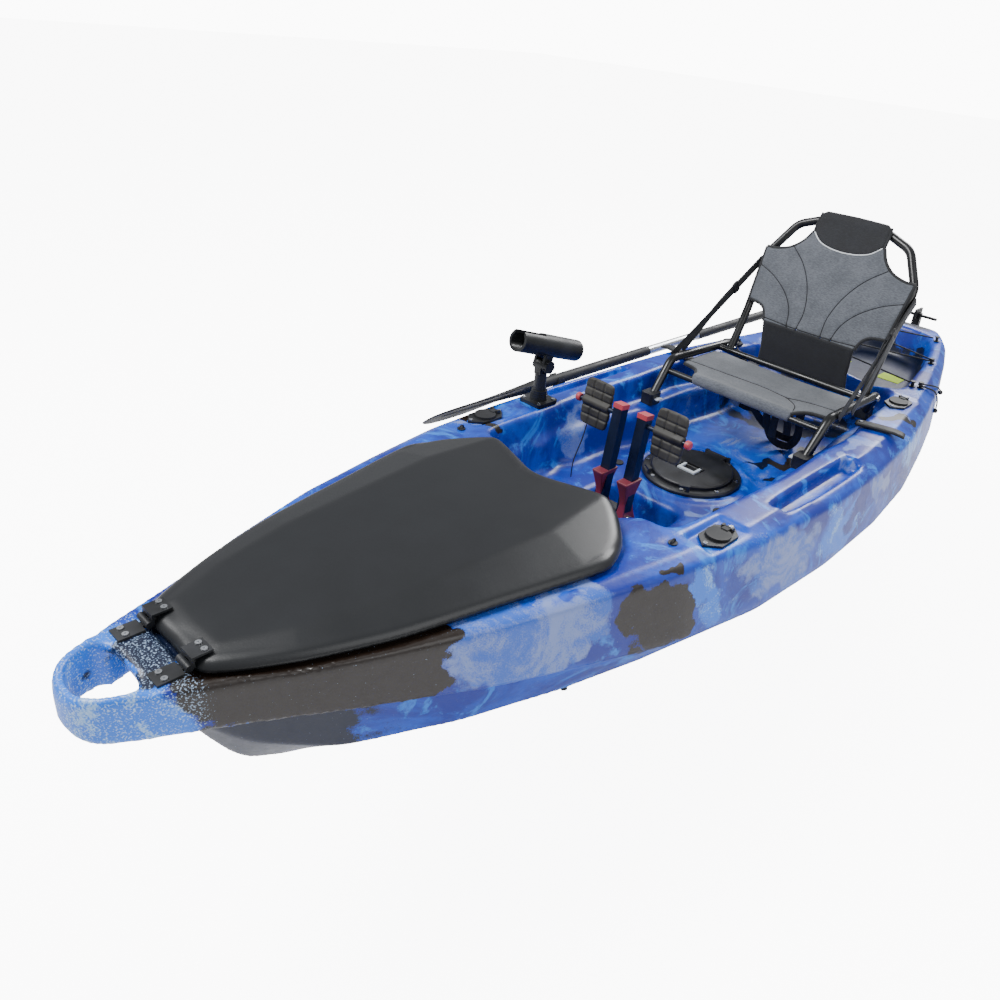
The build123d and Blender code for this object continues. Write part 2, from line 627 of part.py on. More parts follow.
def make_fin(first, mast_shift):
    """One fin with its hub and mast, hanging straight down."""
    y = along(DRIVE_Y)
    start = y + first
    hub = rod_y(12.0, start, start + 96, 0, FIN_AXLE_Z)
    hub = hub - rod_y(FIN_AXLE_R + SHAFT_GAP, start - 1, start + 97, 0, FIN_AXLE_Z)
    mast_y = y + mast_shift
    tip = FIN_AXLE_Z - FIN_LENGTH
    mast = rod_z(FIN_MAST_R, tip, FIN_AXLE_Z - 9, 0, mast_y)
    outline = (
        (mast_y - 9, -46), (mast_y + 40, -44), (mast_y + FIN_CHORD - 10, -62), (mast_y + FIN_CHORD, -110),
        (mast_y + 96, -220), (mast_y + 52, -310), (mast_y + 14, tip - 6), (mast_y - 9, tip - 8),
    )
    sail_face = make_face(Polyline(*outline, close=True))
    sail = extrude(Plane.YZ.offset(-FIN_THICK / 2) * sail_face, amount=FIN_THICK)
    sail = sail + rod_z(FIN_MAST_R + 3, tip - 6, -46, 0, mast_y)
    sail = sail - rod_z(FIN_MAST_R + FIT_GAP, tip - SEAT_GAP, -40, 0, mast_y)
    return hub + mast, sail


# ------------------------------------------------------------------ seat
def lean(points):
    """Points in the back's own plane (x, up the back, in front of it) put in place."""
    angle = math.radians(BACK_LEAN)
    y = along(PIVOT_Y)
    result = []
    for x, up, front in points:
        py = y + up * math.sin(angle) - front * math.cos(angle)
        pz = PIVOT_Z + up * math.cos(angle) + front * math.sin(angle)
        result.append((x, py, pz))
    return result


def back_panel(half, front, thick):
    """A flat panel in the back's plane from its port half (x, up)."""
    outline = [(x, up) for x, up in half] + [(-x, up) for x, up in reversed(half)]
    face = make_face(Polyline(*[(x, up) for x, up in outline], close=True))
    local = extrude(face, amount=thick)
    place = at(0, along(PIVOT_Y), PIVOT_Z) * Rot(90 - BACK_LEAN, 0, 0)
    return place * at(0, 0, front) * local


def make_seat():
    y = along(PIVOT_Y)
    rails = []
    for side in (1, -1):
        points = [
            (side * 249, y - 369, LEDGE_HEIGHT + 10), (side * 256, y - 282, PIVOT_Z + 10),
            (side * (PIVOT_X + 27), y + 26, PIVOT_Z), (side * 200, y + 102, LEDGE_HEIGHT + 11),
        ]
        rails.append(tube(points, TUBE_R, [45.0, 55.0]))
    front_bar = rod_x(9.0, -246, 246, y - 300, PIVOT_Z - 23)
    rear_bar = rod_x(9.0, -248, 248, y - 38, PIVOT_Z)
    base = join(rails + [front_bar, rear_bar])
    pivots = []
    for side in (1, -1):
        pivots.append(rod_x(5.0, side * (PIVOT_X - 16), side * (PIVOT_X + 44), y, PIVOT_Z))
        pivots.append(rod_x(9.0, side * (PIVOT_X + 40.5), side * (PIVOT_X + 44), y, PIVOT_Z))
        base = base - rod_x(5.0 + SHAFT_GAP, side * PIVOT_X, side * (PIVOT_X + 60), y, PIVOT_Z)
    bolts = [pivots[0] + pivots[1], pivots[2] + pivots[3]]
    x = PIVOT_X + 1
    loop = [(x, -10, 0), (x, 128, 0), (x + 8, 318, 0), (178, 420, 0), (92, 454, 0)]
    loop = loop + [(-a, b, c) for a, b, c in reversed(loop)]
    back = tube(lean(loop), TUBE_R, [80.0, 60.0, 60.0, 90.0, 90.0, 60.0, 60.0, 80.0])
    for side in (1, -1):
        back = back - rod_x(5.0 + SHAFT_GAP, side * (PIVOT_X - 40), side * (PIVOT_X + 40), y, PIVOT_Z)
    clear = TUBE_R + SEAT_GAP
    shell = ((150, 106), (206, 118), (222, 150), (236, 322), (222, 340), (160, 346), (122, 378), (108, 402))
    fabric = back_panel(shell, clear, FABRIC_THICK)
    profile = (
        (y + 22, PIVOT_Z + 106.4), (y + 33, PIVOT_Z + 101.3),
        (y + 50, PIVOT_Z - 46), (y + 38, PIVOT_Z - 46),
    )
    lumbar = extrude(Plane.YZ.offset(-150) * make_face(Polyline(*profile, close=True)), amount=300)
    headrest = back_panel(((106, 403), (112, 430), (104, 468)), clear, FABRIC_THICK)
    pan_half = ((164, y - 302), (200, y - 276), (232, y - 232), (236, y - 70), (206, y - 58))
    pan_outline = list(pan_half) + [(-a, b) for a, b in reversed(pan_half)]
    pan = extrude(flat(pan_outline, PIVOT_Z - 14 + SEAT_GAP), amount=FABRIC_THICK)
    return base, bolts, back, fabric, [lumbar, headrest], pan


def make_seat_fittings():
    """Feet on the ledges, wing nuts, under-seat webbing and the side straps."""
    y = along(PIVOT_Y)
    feet = []
    nuts = []
    for side in (1, -1):
        for x, dy in ((249, -369), (200, 102)):
            cx = side * x
            foot = box(cx - 21, cx + 21, y + dy - 24, y + dy + 24, LEDGE_HEIGHT, LEDGE_HEIGHT + 34)
            foot = fillet(foot.edges() | Axis.Z, 9)
            feet.append(foot)
            wing = box(cx - side * 22, cx - side * 34, y + dy - 12, y + dy + 12, 0, 3)
            stud = rod_x(4.0, cx - side * 21, cx - side * 30, y + dy, 1)
            nuts.append(at(0, 0, LEDGE_HEIGHT + 18) * (wing + stud))
    webbing = []
    for dy in (-200, -110):
        under = PIVOT_Z - 14 - STRAP_THICK
        run = box(-238, 238, y + dy - 19, y + dy + 19, under, under + STRAP_THICK)
        webbing.append(run)
    straps = []
    for side in (1, -1):
        start = Vector(side * 247.5, y + 128, PIVOT_Z + 262)
        end = Vector(side * 272, y - 262, PIVOT_Z + 8)
        run = end - start
        plane = Plane(origin=start, x_dir=Vector(side, 0, 0), z_dir=run)
        straps.append(extrude(plane * Rectangle(STRAP_THICK, STRAP_WIDTH), amount=run.length))
        clip = extrude(plane * at(0, 0, 140) * Rectangle(8, STRAP_WIDTH + 8), amount=26)
        straps[-1] = straps[-1] + clip
    return feet, nuts, webbing, straps


# ------------------------------------------------------------------ paddle
def make_paddle(hull_body):
    x = -(across(432) + PADDLE_R + 12)
    z = PADDLE_Z
    tip = PADDLE_TIP_Y
    far = tip + PADDLE_LENGTH
    throat = 40.0
    shaft = rod_y(PADDLE_R, tip + BLADE_LENGTH - throat, far - BLADE_LENGTH + throat, x, z)
    grip_r = PADDLE_R + 1.5
    grips = []
    middle = PADDLE_TIP_Y * 2 + PADDLE_LENGTH
    for start, end in ((-50, 465), (middle - 465, middle + 50)):
        sleeve = rod_y(grip_r, start, end, x, z)
        grips.append(sleeve - rod_y(PADDLE_R + SHAFT_GAP, start - 1, end + 1, x, z))
    half = BLADE_WIDTH / 2
    outline = (
        (-18, 0), (-half * 0.8, -110), (-half, -240), (-half * 0.75, -350),
        (-half * 0.3, -BLADE_LENGTH + 8),
    )
    points = list(outline) + [(-a, b) for a, b in reversed(outline)]
    plate = extrude(make_face(Polyline(*points, close=True)), amount=7)
    blades = []
    for turn, end in ((0, tip + BLADE_LENGTH - 8), (180, far - BLADE_LENGTH + 8)):
        blade = at(0, 0, -3.5) * plate + rod_y(PADDLE_R + 4, -60, 0, 0, 0)
        blade = blade - rod_y(PADDLE_R + FIT_GAP, -throat + 8 - SEAT_GAP, 10, 0, 0)
        blades.append(at(x, end, z) * Rot(0, -38, 0) * Rot(0, 0, turn) * blade)
    clip_y = along(CLIP_Y)
    clip = rod_y(grip_r + 5, clip_y - 13, clip_y + 13, x, z)
    clip = clip + box(x, x + 60, clip_y - 13, clip_y + 13, z - 26, z - 6)
    clip = clip - rod_y(grip_r + SEAT_GAP, clip_y - 14, clip_y + 14, x, z)
    clip = clip - box(x - grip_r - SEAT_GAP, x + grip_r + SEAT_GAP, clip_y - 14, clip_y + 14, z, z + 40)
    clip = clip - hull_body - box(-across(425), 0, clip_y - 20, clip_y + 20, 0, 400)
    return shaft, grips, blades, clip


# ------------------------------------------------------------------ rudder
def make_rudder():
    y = along(STATIONS[-1][0])
    pin_y = y + RUDDER_STANDOFF
    bracket = box(-30, 30, y, y + 5, 200, 300)
    for z in (208, 276):
        bracket = bracket + box(-12, 12, y + 4, pin_y + 9, z, z + 12)
    bracket = bracket - rod_z(RUDDER_PIN_R + SHAFT_GAP, 190, 310, 0, pin_y)
    pin = rod_z(RUDDER_PIN_R, 204, 292, 0, pin_y) + rod_z(9.0, 288.3, 293, 0, pin_y)
    head = box(-14, 14, pin_y - 12, pin_y + 60, 222, 274)
    head = head - box(-5, 5, pin_y + 16, pin_y + 70, 210, 290)
    neck = box(-14, 14, pin_y + 14, pin_y + 34, 260, 356) - box(-5, 5, pin_y + 10, pin_y + 40, 250, 290)
    head = head + neck + box(-72, 72, pin_y + 14, pin_y + 26, 345, 353)
    head = head + box(-4, 4, pin_y - 8, pin_y + 50, 340, 372)
    head = head - rod_z(RUDDER_PIN_R + SHAFT_GAP, 200, 300, 0, pin_y)
    pivot_y = pin_y + 44
    head = head + rod_x(5.0, -14, 14, pivot_y, 248)
    outline = (
        (pivot_y - 22, 264), (pivot_y + 18, 268), (pivot_y + 30, 240), (pivot_y + 58, 120),
        (pivot_y + 64, -60), (pivot_y + 40, 248 - RUDDER_BLADE), (pivot_y - 10, 248 - RUDDER_BLADE + 20),
        (pivot_y - 30, -40), (pivot_y - 26, 180),
    )
    blade = extrude(Plane.YZ.offset(-4.5) * make_face(Polyline(*outline, close=True)), amount=9)
    blade = blade - rod_x(5.0 + SHAFT_GAP, -10, 10, pivot_y, 248)
    return bracket, pin, head, blade


# ------------------------------------------------------------------ small deck fittings and cords
PADEYES = ((317.0, -455.0), (-317.0, -455.0))
TANK_POSTS = ((262.0, 860.0), (-250.0, 980.0), (224.0, 1100.0), (-190.0, 1220.0), (150.0, 1330.0))
SIDE_HOOK = (283.0, 872.0)
POST_R = 5.0
POST_HEIGHT = 18.0
CORD_RISE = 10.5
HANDLES = ((300.0, 450.0, 16.0), (-300.0, 450.0, -16.0))


def small_seats():
    """Flat recesses for eyes and posts: place, half width and height."""
    seats = []
    for x, y in PADEYES + TANK_POSTS + (SIDE_HOOK,):
        seats.append((x, y, 11.0, seat_height(x, y, 11, 11)))
    for side in (1, -1):
        seats.append((side * HINGE_X, -1340.0, 32.0, HINGE_SEAT))
    return seats


def make_eyes():
    eyes = []
    for x, y in PADEYES:
        z = seat_height(x, y, 11, 11)
        base = rod_z(10.0, z, z + 3, across(x), along(y))
        ring = at(across(x), along(y), z + 3) * Rot(0, 90, 0) * Torus(7, 2)
        ring = ring - box(-BEAM, BEAM, -LENGTH, LENGTH, z - 20, z + 1)
        eyes.append(base + ring)
    return eyes


def make_posts():
    posts = []
    for x, y in TANK_POSTS + (SIDE_HOOK,):
        z = seat_height(x, y, 11, 11)
        px, py = across(x), along(y)
        post = rod_z(10.0, z, z + 3, px, py) + rod_z(POST_R, z, z + POST_HEIGHT, px, py)
        posts.append(post + rod_z(8.0, z + POST_HEIGHT - 3, z + POST_HEIGHT, px, py))
    return posts


# The zig-zag passes these places, each given by its post and the step from that post's middle.
TANK_CORD = (
    (0, -9.9, 3.0), (1, -7.9, -9.5), (1, -7.9, 9.5), (2, 7.9, -9.5),
    (2, 7.9, 9.5), (3, -7.9, -9.5), (3, -7.9, 9.5), (4, -11.9, -3.5),
)


def tank_route():
    """The taut zig-zag over the tank well, outside each post in turn."""
    route = []
    for number, step_x, step_y in TANK_CORD:
        x, y = TANK_POSTS[number]
        z = seat_height(x, y, 11, 11) + CORD_RISE
        route.append((across(x) + step_x, along(y) + step_y, z))
    return route


def side_route():
    """The V of bungee over the port side, from one hull eye round the post to the other."""
    x, y = SIDE_HOOK
    z = seat_height(x, y, 11, 11) + CORD_RISE
    post_x = across(x)
    post_y = along(y)
    off = POST_R + BUNGEE_R + 0.7
    along_x, along_y = 0.66, 0.75
    side_x, side_y = along_y, along_x
    return [
        (across(314), along(985), 212), (across(334), along(918), 297),
        (post_x + (side_x - along_x) * off, post_y - (side_y + along_y) * off, z),
        (post_x - (side_x + along_x) * off, post_y + (side_y - along_y) * off, z),
        (across(322), along(950), 304), (across(284), along(1085), 240),
    ]


def cord_route():
    """The thin cord that hangs from the starboard pedal."""
    y = along(DRIVE_Y)
    return [
        (-126, y + 23, 325), (-130, y + 20, 287), (-141, y + 17, 247),
        (-146, y + 9, 210), (-147, y + 12, 172),
    ]


def side_anchors(hull_body, cord):
    """A moulded eye on the hull's side at each end of the V of bungee."""
    anchors = []
    for x, y, z in (side_route()[0], side_route()[-1]):
        anchors.append(at(x, y, z) * Sphere(8.0) - hull_body - cord)
    return anchors


def make_handles():
    handles = []
    for x, y, turn in HANDLES:
        z = deck_height(abs(x), y + 60) + SEAT_GAP
        reach = 40 if x > 0 else -40
        strap = at(across(x), along(y), z) * Rot(0, 0, turn) * at(reach, 0, 3) * Box(128, 36, 6)
        handles.append(strap)
    return handles


def main():
    body, hollow = make_hull()
    for x, y, half, z in small_seats():
        body = body - box(
            across(x) - half - POCKET_GAP, across(x) + half + POCKET_GAP,
            along(y) - half - POCKET_GAP, along(y) + half + POCKET_GAP, z, z + 60,
        )
    save(body - hollow, "hull")
    save(make_lid(), "hatch_lid")
    save(make_lid_seal(), "hatch_seal")
    save(Compound(make_lid_trim()), "hatch_lid_trim")
    bases, leaves, pins = make_hinges()
    save(Compound(bases + pins), "hinge_bases")
    save(Compound(leaves), "hinge_leaves")
    ring, lid, handle, latches = make_round_hatch()
    save(ring, "round_hatch_ring")
    save(lid, "round_hatch_lid")
    save(handle, "round_hatch_handle")
    for name, latch in zip(("port", "starboard"), latches):
        save(latch, "round_hatch_latch_" + name)
    bodies, caps = make_rod_holders()
    save(Compound(bodies), "rod_holders")
    for name, cap in zip(("bow_port", "bow_starboard", "stern_port", "stern_starboard"), caps):
        save(cap, "rod_cap_" + name)
    plate, post, cradle, knob = make_swivel_holder()
    save(plate, "swivel_base")
    save(post, "swivel_post")
    save(cradle, "rod_cradle")
    save(knob, "tilt_knob")
    spine, axles = make_drive()
    save(spine, "drive_spine")
    save(Compound(axles), "drive_axles")
    for name, side in (("port", 1), ("starboard", -1)):
        bracket, arm, cap, pad = make_crank(side)
        save(bracket, "crank_bracket_" + name)
        save(arm, "pedal_arm_" + name)
        save(cap, "arm_cap_" + name)
        save(pad, "pedal_pad_" + name)
    for name, first, shift in (("bow", -103.5, -94.0), ("stern", 7.5, FIN_PITCH - 94.0)):
        mast, sail = make_fin(first, shift)
        save(Compound([mast, sail]), "fin_" + name)
    base, bolts, back, fabric, padding, pan = make_seat()
    save(base, "seat_base_frame")
    save(Compound(bolts), "seat_pivot_bolts")
    save(back, "seat_back_frame")
    save(fabric, "seat_back_fabric")
    save(Compound(padding), "seat_padding")
    save(pan, "seat_pan_fabric")
    feet, nuts, webbing, straps = make_seat_fittings()
    save(Compound([foot - base for foot in feet]), "seat_feet")
    save(Compound(nuts), "wing_nuts")
    save(Compound(webbing), "seat_webbing")
    save(Compound(straps), "seat_straps")
    shaft, grips, blades, clip = make_paddle(body)
    save(shaft, "paddle_shaft")
    save(Compound(grips), "paddle_grips")
    save(Compound(blades), "paddle_blades")
    save(clip, "paddle_clip")
    bracket, pin, head, blade = make_rudder()
    save(Compound([bracket, pin]), "rudder_bracket")
    save(head, "rudder_head")
    save(blade, "rudder_blade")
    save(Compound(make_eyes()), "deck_eyes")
    save(Compound(make_handles()), "carry_handles")
    corners = [min(bend, POST_R + BUNGEE_R + 0.3) for bend in limp_bends(tank_route())]
    save(tube(tank_route(), BUNGEE_R, corners), "tank_bungee")
    wrap = POST_R + BUNGEE_R + 0.5
    side_cord = tube(side_route(), BUNGEE_R, [14.0, wrap, wrap, 14.0])
    save(side_cord, "side_bungee")
    eye_bore = tube(side_route(), BUNGEE_R + SEAT_GAP, [14.0, wrap, wrap, 14.0])
    save(Compound(make_posts() + side_anchors(body, eye_bore)), "bungee_posts")
    save(tube(cord_route(), CORD_R, limp_bends(cord_route())), "pedal_cord")
    patches = []
    for side in (1, -1):
        patches.append(box(side * 61, side * 139, along(1100), along(1165), TANK_FLOOR, TANK_FLOOR + 1.5))
    save(Compound(patches), "deck_patches")
    plugs = []
    for x, y in ((195, 130), (164, -9)):
        for side in (1, -1):
            px = side * across(x)
            plugs.append(rod_z(14.0, COCKPIT_FLOOR, COCKPIT_FLOOR + 4, px, along(y)))
    save(Compound(plugs), "scupper_plugs")
    screws = []
    for side in (1, -1):
        for dx in (-9, 9):
            screws.append(screw(side * across(HINGE_X) + dx, along(HINGE_Y) - 34, HINGE_SEAT + 4))
    for turn in range(0, 360, 45):
        angle = math.radians(turn + 22.5)
        reach = HATCH_FLANGE_R - 12
        sx = reach * math.sin(angle)
        sy = along(HATCH_Y) + reach * math.cos(angle)
        screws.append(screw(sx, sy, COCKPIT_FLOOR + HATCH_FLANGE_THICK))
    for dx in (-27, 27):
        for dy in (-27, 27):
            x, y = real(SWIVEL_SPOT)
            screws.append(screw(x + dx, y + dy, SWIVEL_Z + SWIVEL_PLATE_THICK))
    for spot in ROD_SPOTS:
        for dy in (-48, 48):
            x, y = real(spot)
            screws.append(screw(x, y + dy, rod_seat(spot) + ROD_FLANGE_THICK))
    save(Compound(screws), "deck_screws")
    lid_screws = []
    for side in (1, -1):
        for dx in (-9, 9):
            y = along(HINGE_Y) + LEAF_LENGTH - 10
            lid_screws.append(screw(side * across(HINGE_X) + dx, y, LID_TOP + 4))
    save(Compound(lid_screws), "hinge_leaf_screws")


main()
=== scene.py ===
# %% [markdown]
# # A pedal kayak
# The real object is a sit-on-top fishing kayak: one rotomoulded hull, a hatch
# lid in front, a pedal drive with two fins under the keel, a framed seat, and
# many small fittings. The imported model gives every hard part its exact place.
# Here the moulded and sewn parts get their true soft shapes, and everything
# gets a finish. All lengths in the tables are millimetres, as a boat builder
# writes them, and one factor turns them into Blender's metres.
# %% Load the frame
import math

import bpy
import numpy as np
from mathutils import Matrix, Vector


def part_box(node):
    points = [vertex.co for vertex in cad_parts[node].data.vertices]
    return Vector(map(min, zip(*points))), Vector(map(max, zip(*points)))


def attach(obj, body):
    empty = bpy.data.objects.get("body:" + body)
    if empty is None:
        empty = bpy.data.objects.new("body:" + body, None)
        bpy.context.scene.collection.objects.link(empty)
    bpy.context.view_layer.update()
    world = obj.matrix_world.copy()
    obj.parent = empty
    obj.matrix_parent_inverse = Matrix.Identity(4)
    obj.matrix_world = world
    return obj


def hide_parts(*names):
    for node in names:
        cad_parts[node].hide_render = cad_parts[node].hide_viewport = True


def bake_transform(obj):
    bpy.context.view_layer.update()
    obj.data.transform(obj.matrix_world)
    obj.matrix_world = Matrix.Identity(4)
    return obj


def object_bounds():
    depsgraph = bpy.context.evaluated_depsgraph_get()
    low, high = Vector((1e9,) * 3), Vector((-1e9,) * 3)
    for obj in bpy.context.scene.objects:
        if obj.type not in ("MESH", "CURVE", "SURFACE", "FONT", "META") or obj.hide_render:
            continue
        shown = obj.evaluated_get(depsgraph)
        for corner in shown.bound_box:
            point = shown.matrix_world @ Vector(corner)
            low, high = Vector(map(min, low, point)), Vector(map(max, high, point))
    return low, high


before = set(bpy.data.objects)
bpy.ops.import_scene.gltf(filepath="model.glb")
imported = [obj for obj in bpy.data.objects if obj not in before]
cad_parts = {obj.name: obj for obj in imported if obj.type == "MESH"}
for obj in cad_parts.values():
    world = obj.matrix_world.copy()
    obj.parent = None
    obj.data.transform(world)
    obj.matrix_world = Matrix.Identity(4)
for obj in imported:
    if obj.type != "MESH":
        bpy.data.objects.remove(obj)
cad_box = [list(corner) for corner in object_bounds()]
MM = 0.001
print("nodes", len(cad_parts), "box", cad_box)

# %% [markdown]
# ## Small helpers
# A colour is written the way a paint chip is, as an sRGB hex value, but shaders
# work in linear light, so one function turns one into the other. One more
# function adds a shader node with its settings and its links in a single call.
# %% Colour and node helpers


def colour(code):
    """Linear RGBA from an sRGB hex code."""
    parts = [int(code[i:i + 2], 16) / 255 for i in (1, 3, 5)]
    linear = [v / 12.92 if v <= 0.04045 else ((v + 0.055) / 1.055) ** 2.4 for v in parts]
    return (*linear, 1.0)


def add(tree, kind, links=None, **settings):
    """Adds one node; links maps an input to another socket or a constant."""
    made = tree.nodes.new(kind)
    for key, value in settings.items():
        setattr(made, key, value)
    for key, value in (links or {}).items():
        if isinstance(value, bpy.types.NodeSocket):
            tree.links.new(value, made.inputs[key])
        else:
            made.inputs[key].default_value = value
    return made


def start_finish(name, base, roughness, metallic=0.0, ior=1.5):
    """A named material with its shader set to one colour and gloss."""
    material = bpy.data.materials.new(name)
    material.use_nodes = True
    shader = material.node_tree.nodes["Principled BSDF"]
    shader.inputs["Base Color"].default_value = colour(base)
    shader.inputs["Roughness"].default_value = roughness
    shader.inputs["Metallic"].default_value = metallic
    if metallic == 0.0:
        shader.inputs["IOR"].default_value = ior
    return material, material.node_tree, shader


print("white is", colour("#ffffff"))

# %% [markdown]
# ## Camera, floor and light
# The boat is seen from ahead on its port side and above, with a slightly wide
# lens and a small roll. Soft product light comes from big area lamps and a
# pale world, so the wet-look plastics get broad highlights, not sparks.
# %% Camera
camera_data = bpy.data.cameras.new("camera")
camera = bpy.data.objects.new("camera", camera_data)
bpy.context.collection.objects.link(camera)
right = Vector((0.72722, 0.67953, 0.09691))
up = Vector((-0.37033, 0.26953, 0.88894))
back = Vector((0.57794, -0.68234, 0.44765))
turn = Matrix((right, up, back)).transposed().to_4x4()
camera.matrix_world = Matrix.Translation((1.0655, -1.7118, 1.2061)) @ turn
camera_data.lens = 30.82
camera_data.sensor_width = 36.0
camera_data.shift_x = -0.0605
camera_data.shift_y = -0.0510
camera_data.clip_end = 60.0
bpy.context.scene.camera = camera
print("camera at", tuple(camera.location))

# %% Floor and lamps
floor_z = cad_box[0][2] - 0.002
floor_mesh = bpy.data.meshes.new("floor")
reach = 30.0
floor_mesh.from_pydata(
    [(-reach, -reach, floor_z), (reach, -reach, floor_z), (reach, reach, floor_z), (-reach, reach, floor_z)],
    [], [(0, 1, 2, 3)])
floor_piece = bpy.data.objects.new("studio_floor", floor_mesh)
bpy.context.collection.objects.link(floor_piece)
floor_finish, floor_tree, floor_shader = start_finish("studio_paper_white_matt", "#f8f8f8", 0.9)
camera_ray = add(floor_tree, "ShaderNodeLightPath").outputs["Is Camera Ray"]
# The paper is lit from below like a light table, so it reads as pure white behind the boat.
lit_from_below = add(
    floor_tree, "ShaderNodeMath", {0: camera_ray, 1: 9.0}, operation="MULTIPLY").outputs["Value"]
floor_tree.links.new(lit_from_below, floor_shader.inputs["Emission Strength"])
floor_shader.inputs["Emission Color"].default_value = colour("#ffffff")
floor_mesh.materials.append(floor_finish)


def lamp(name, place, target, size, watts):
    data = bpy.data.lights.new(name, "AREA")
    data.size = size
    data.energy = watts
    piece = bpy.data.objects.new(name, data)
    bpy.context.collection.objects.link(piece)
    piece.location = place
    piece.rotation_euler = (Vector(target) - Vector(place)).to_track_quat("-Z", "Y").to_euler()


lamp("key_softbox", (-1.8, -2.6, 4.2), (0, 0, 0.2), 2.2, 300)
lamp("fill_softbox", (3.4, -0.5, 2.6), (0, 0, 0.2), 3.0, 60)
lamp("rim_softbox", (-0.5, 4.2, 3.4), (0, 0.4, 0.2), 2.0, 230)
world = bpy.data.worlds.new("pale_studio")
world.use_nodes = True
sky = world.node_tree.nodes["Background"]
sky.inputs["Color"].default_value = colour("#f4f6fa")
sky.inputs["Strength"].default_value = 0.55
backdrop = add(world.node_tree, "ShaderNodeBackground", {"Color": colour("#ffffff"), "Strength": 11.0})
seen = add(world.node_tree, "ShaderNodeLightPath").outputs["Is Camera Ray"]
both_skies = add(world.node_tree, "ShaderNodeMixShader", {
    0: seen, 1: sky.outputs["Background"], 2: backdrop.outputs["Background"]})
world_end = world.node_tree.nodes["World Output"]
world.node_tree.links.new(both_skies.outputs["Shader"], world_end.inputs["Surface"])
bpy.context.scene.world = world

# %% [markdown]
# ## Plain finishes
# Most fittings are one of a dozen stock finishes. Each starts as a stock
# plastic or metal with the gloss of that material, then a fine noise moves
# its roughness and lifts tiny bumps, because nothing moulded is perfectly even.
# The bump scale is the size of the grain in millimetres.
# %% Grained finishes


def grained(name, base, roughness, grain_mm, height_mm, metallic=0.0, uneven=0.12, tint="#000000", share=0.0):
    """One stock finish with a grain of a real size and slightly uneven gloss and colour."""
    material, tree, shader = start_finish(name, base, roughness, metallic)
    place = add(tree, "ShaderNodeTexCoord").outputs["Object"]
    fine = add(tree, "ShaderNodeTexNoise", {"Vector": place, "Scale": 1.0 / (grain_mm * MM), "Detail": 3.0})
    broad = add(tree, "ShaderNodeTexNoise", {"Vector": place, "Scale": 14.0, "Detail": 4.0})
    gloss = add(tree, "ShaderNodeMapRange", {
        "Value": broad.outputs["Fac"], "From Min": 0.3, "From Max": 0.7,
        "To Min": max(roughness - uneven, 0.05), "To Max": min(roughness + uneven, 1.0)})
    tree.links.new(gloss.outputs["Result"], shader.inputs["Roughness"])
    if share > 0.0:
        shade = add(tree, "ShaderNodeMapRange", {
            "Value": broad.outputs["Fac"], "From Min": 0.35, "From Max": 0.7, "To Min": 0.0, "To Max": share})
        mix = add(tree, "ShaderNodeMix", {
            0: shade.outputs["Result"], 6: colour(base), 7: colour(tint)}, data_type="RGBA")
        tree.links.new(mix.outputs[2], shader.inputs["Base Color"])
    bump = add(tree, "ShaderNodeBump", {
        "Height": fine.outputs["Fac"], "Strength": 0.6, "Distance": height_mm * MM})
    tree.links.new(bump.outputs["Normal"], shader.inputs["Normal"])
    return material


# Glass-filled nylon: satin, with the fibres just breaking the gloss.
nylon_black = grained("moulded_nylon_black", "#0c0d0e", 0.42, 1.6, 0.10, tint="#2c2e33", share=0.7)
nylon_grey = grained("moulded_nylon_grey", "#8d949d", 0.45, 1.6, 0.10, tint="#6f7680", share=0.6)
nylon_white = grained("moulded_nylon_light_grey", "#c4cbd2", 0.4, 1.6, 0.08, tint="#a9b1b9", share=0.5)
# EPDM rubber: nearly matt, faintly dusty.
rubber_black = grained("moulded_rubber_black", "#0b0b0c", 0.58, 2.2, 0.14, tint="#33353a", share=0.5)
# Passivated stainless: bright, with brushed roughness.
stainless = grained("brushed_stainless_steel", "#c9ccd0", 0.24, 1.2, 0.02, metallic=1.0)
# Painted die-cast clamp plates.
clamp_maroon = grained("painted_alloy_maroon", "#7d2a38", 0.38, 1.8, 0.06, tint="#5a1c28", share=0.6)
cap_red = grained("moulded_vinyl_red", "#b5424a", 0.45, 1.8, 0.08, tint="#8f2f38", share=0.6)
# Anodised aluminium square tube, deep navy, almost black.
arm_navy = grained("anodised_aluminium_navy", "#0d1424", 0.36, 1.4, 0.03, metallic=0.35,
                   tint="#1c2b4a", share=0.6)
# Powder-coated steel tube: smooth orange-peel gloss.
tube_black = grained("powder_coated_steel_black", "#0b0c0d", 0.30, 3.0, 0.05, tint="#2a2c30", share=0.5)
shaft_silver = grained("anodised_aluminium_silver", "#c3c6c9", 0.33, 1.6, 0.03, metallic=1.0)
blade_black = grained("glass_filled_blade_black", "#0c0d0e", 0.62, 2.0, 0.08, tint="#26282c", share=0.5)
foam_lime = grained("closed_cell_foam_lime", "#b9d63f", 0.85, 1.6, 0.25, tint="#9dbb2f", share=0.6)
lid_charcoal = grained("grained_polyethylene_charcoal", "#15171a", 0.36, 2.6, 0.16, uneven=0.02,
                       tint="#1c1f24", share=0.1)
fin_rubber = grained("flexible_fin_grey", "#3a3c3c", 0.5, 2.2, 0.10, tint="#55584f", share=0.6)
print("finishes", len(bpy.data.materials))

# %% [markdown]
# ## The cords
# Two bungees are stretched over the stern and a thin cord hangs from the
# starboard pedal. A stretched cord is best drawn as one smooth spline: the
# same few points that the model's cords pass are its control points, and the
# bevel gives its thickness.
# %% Cord curves


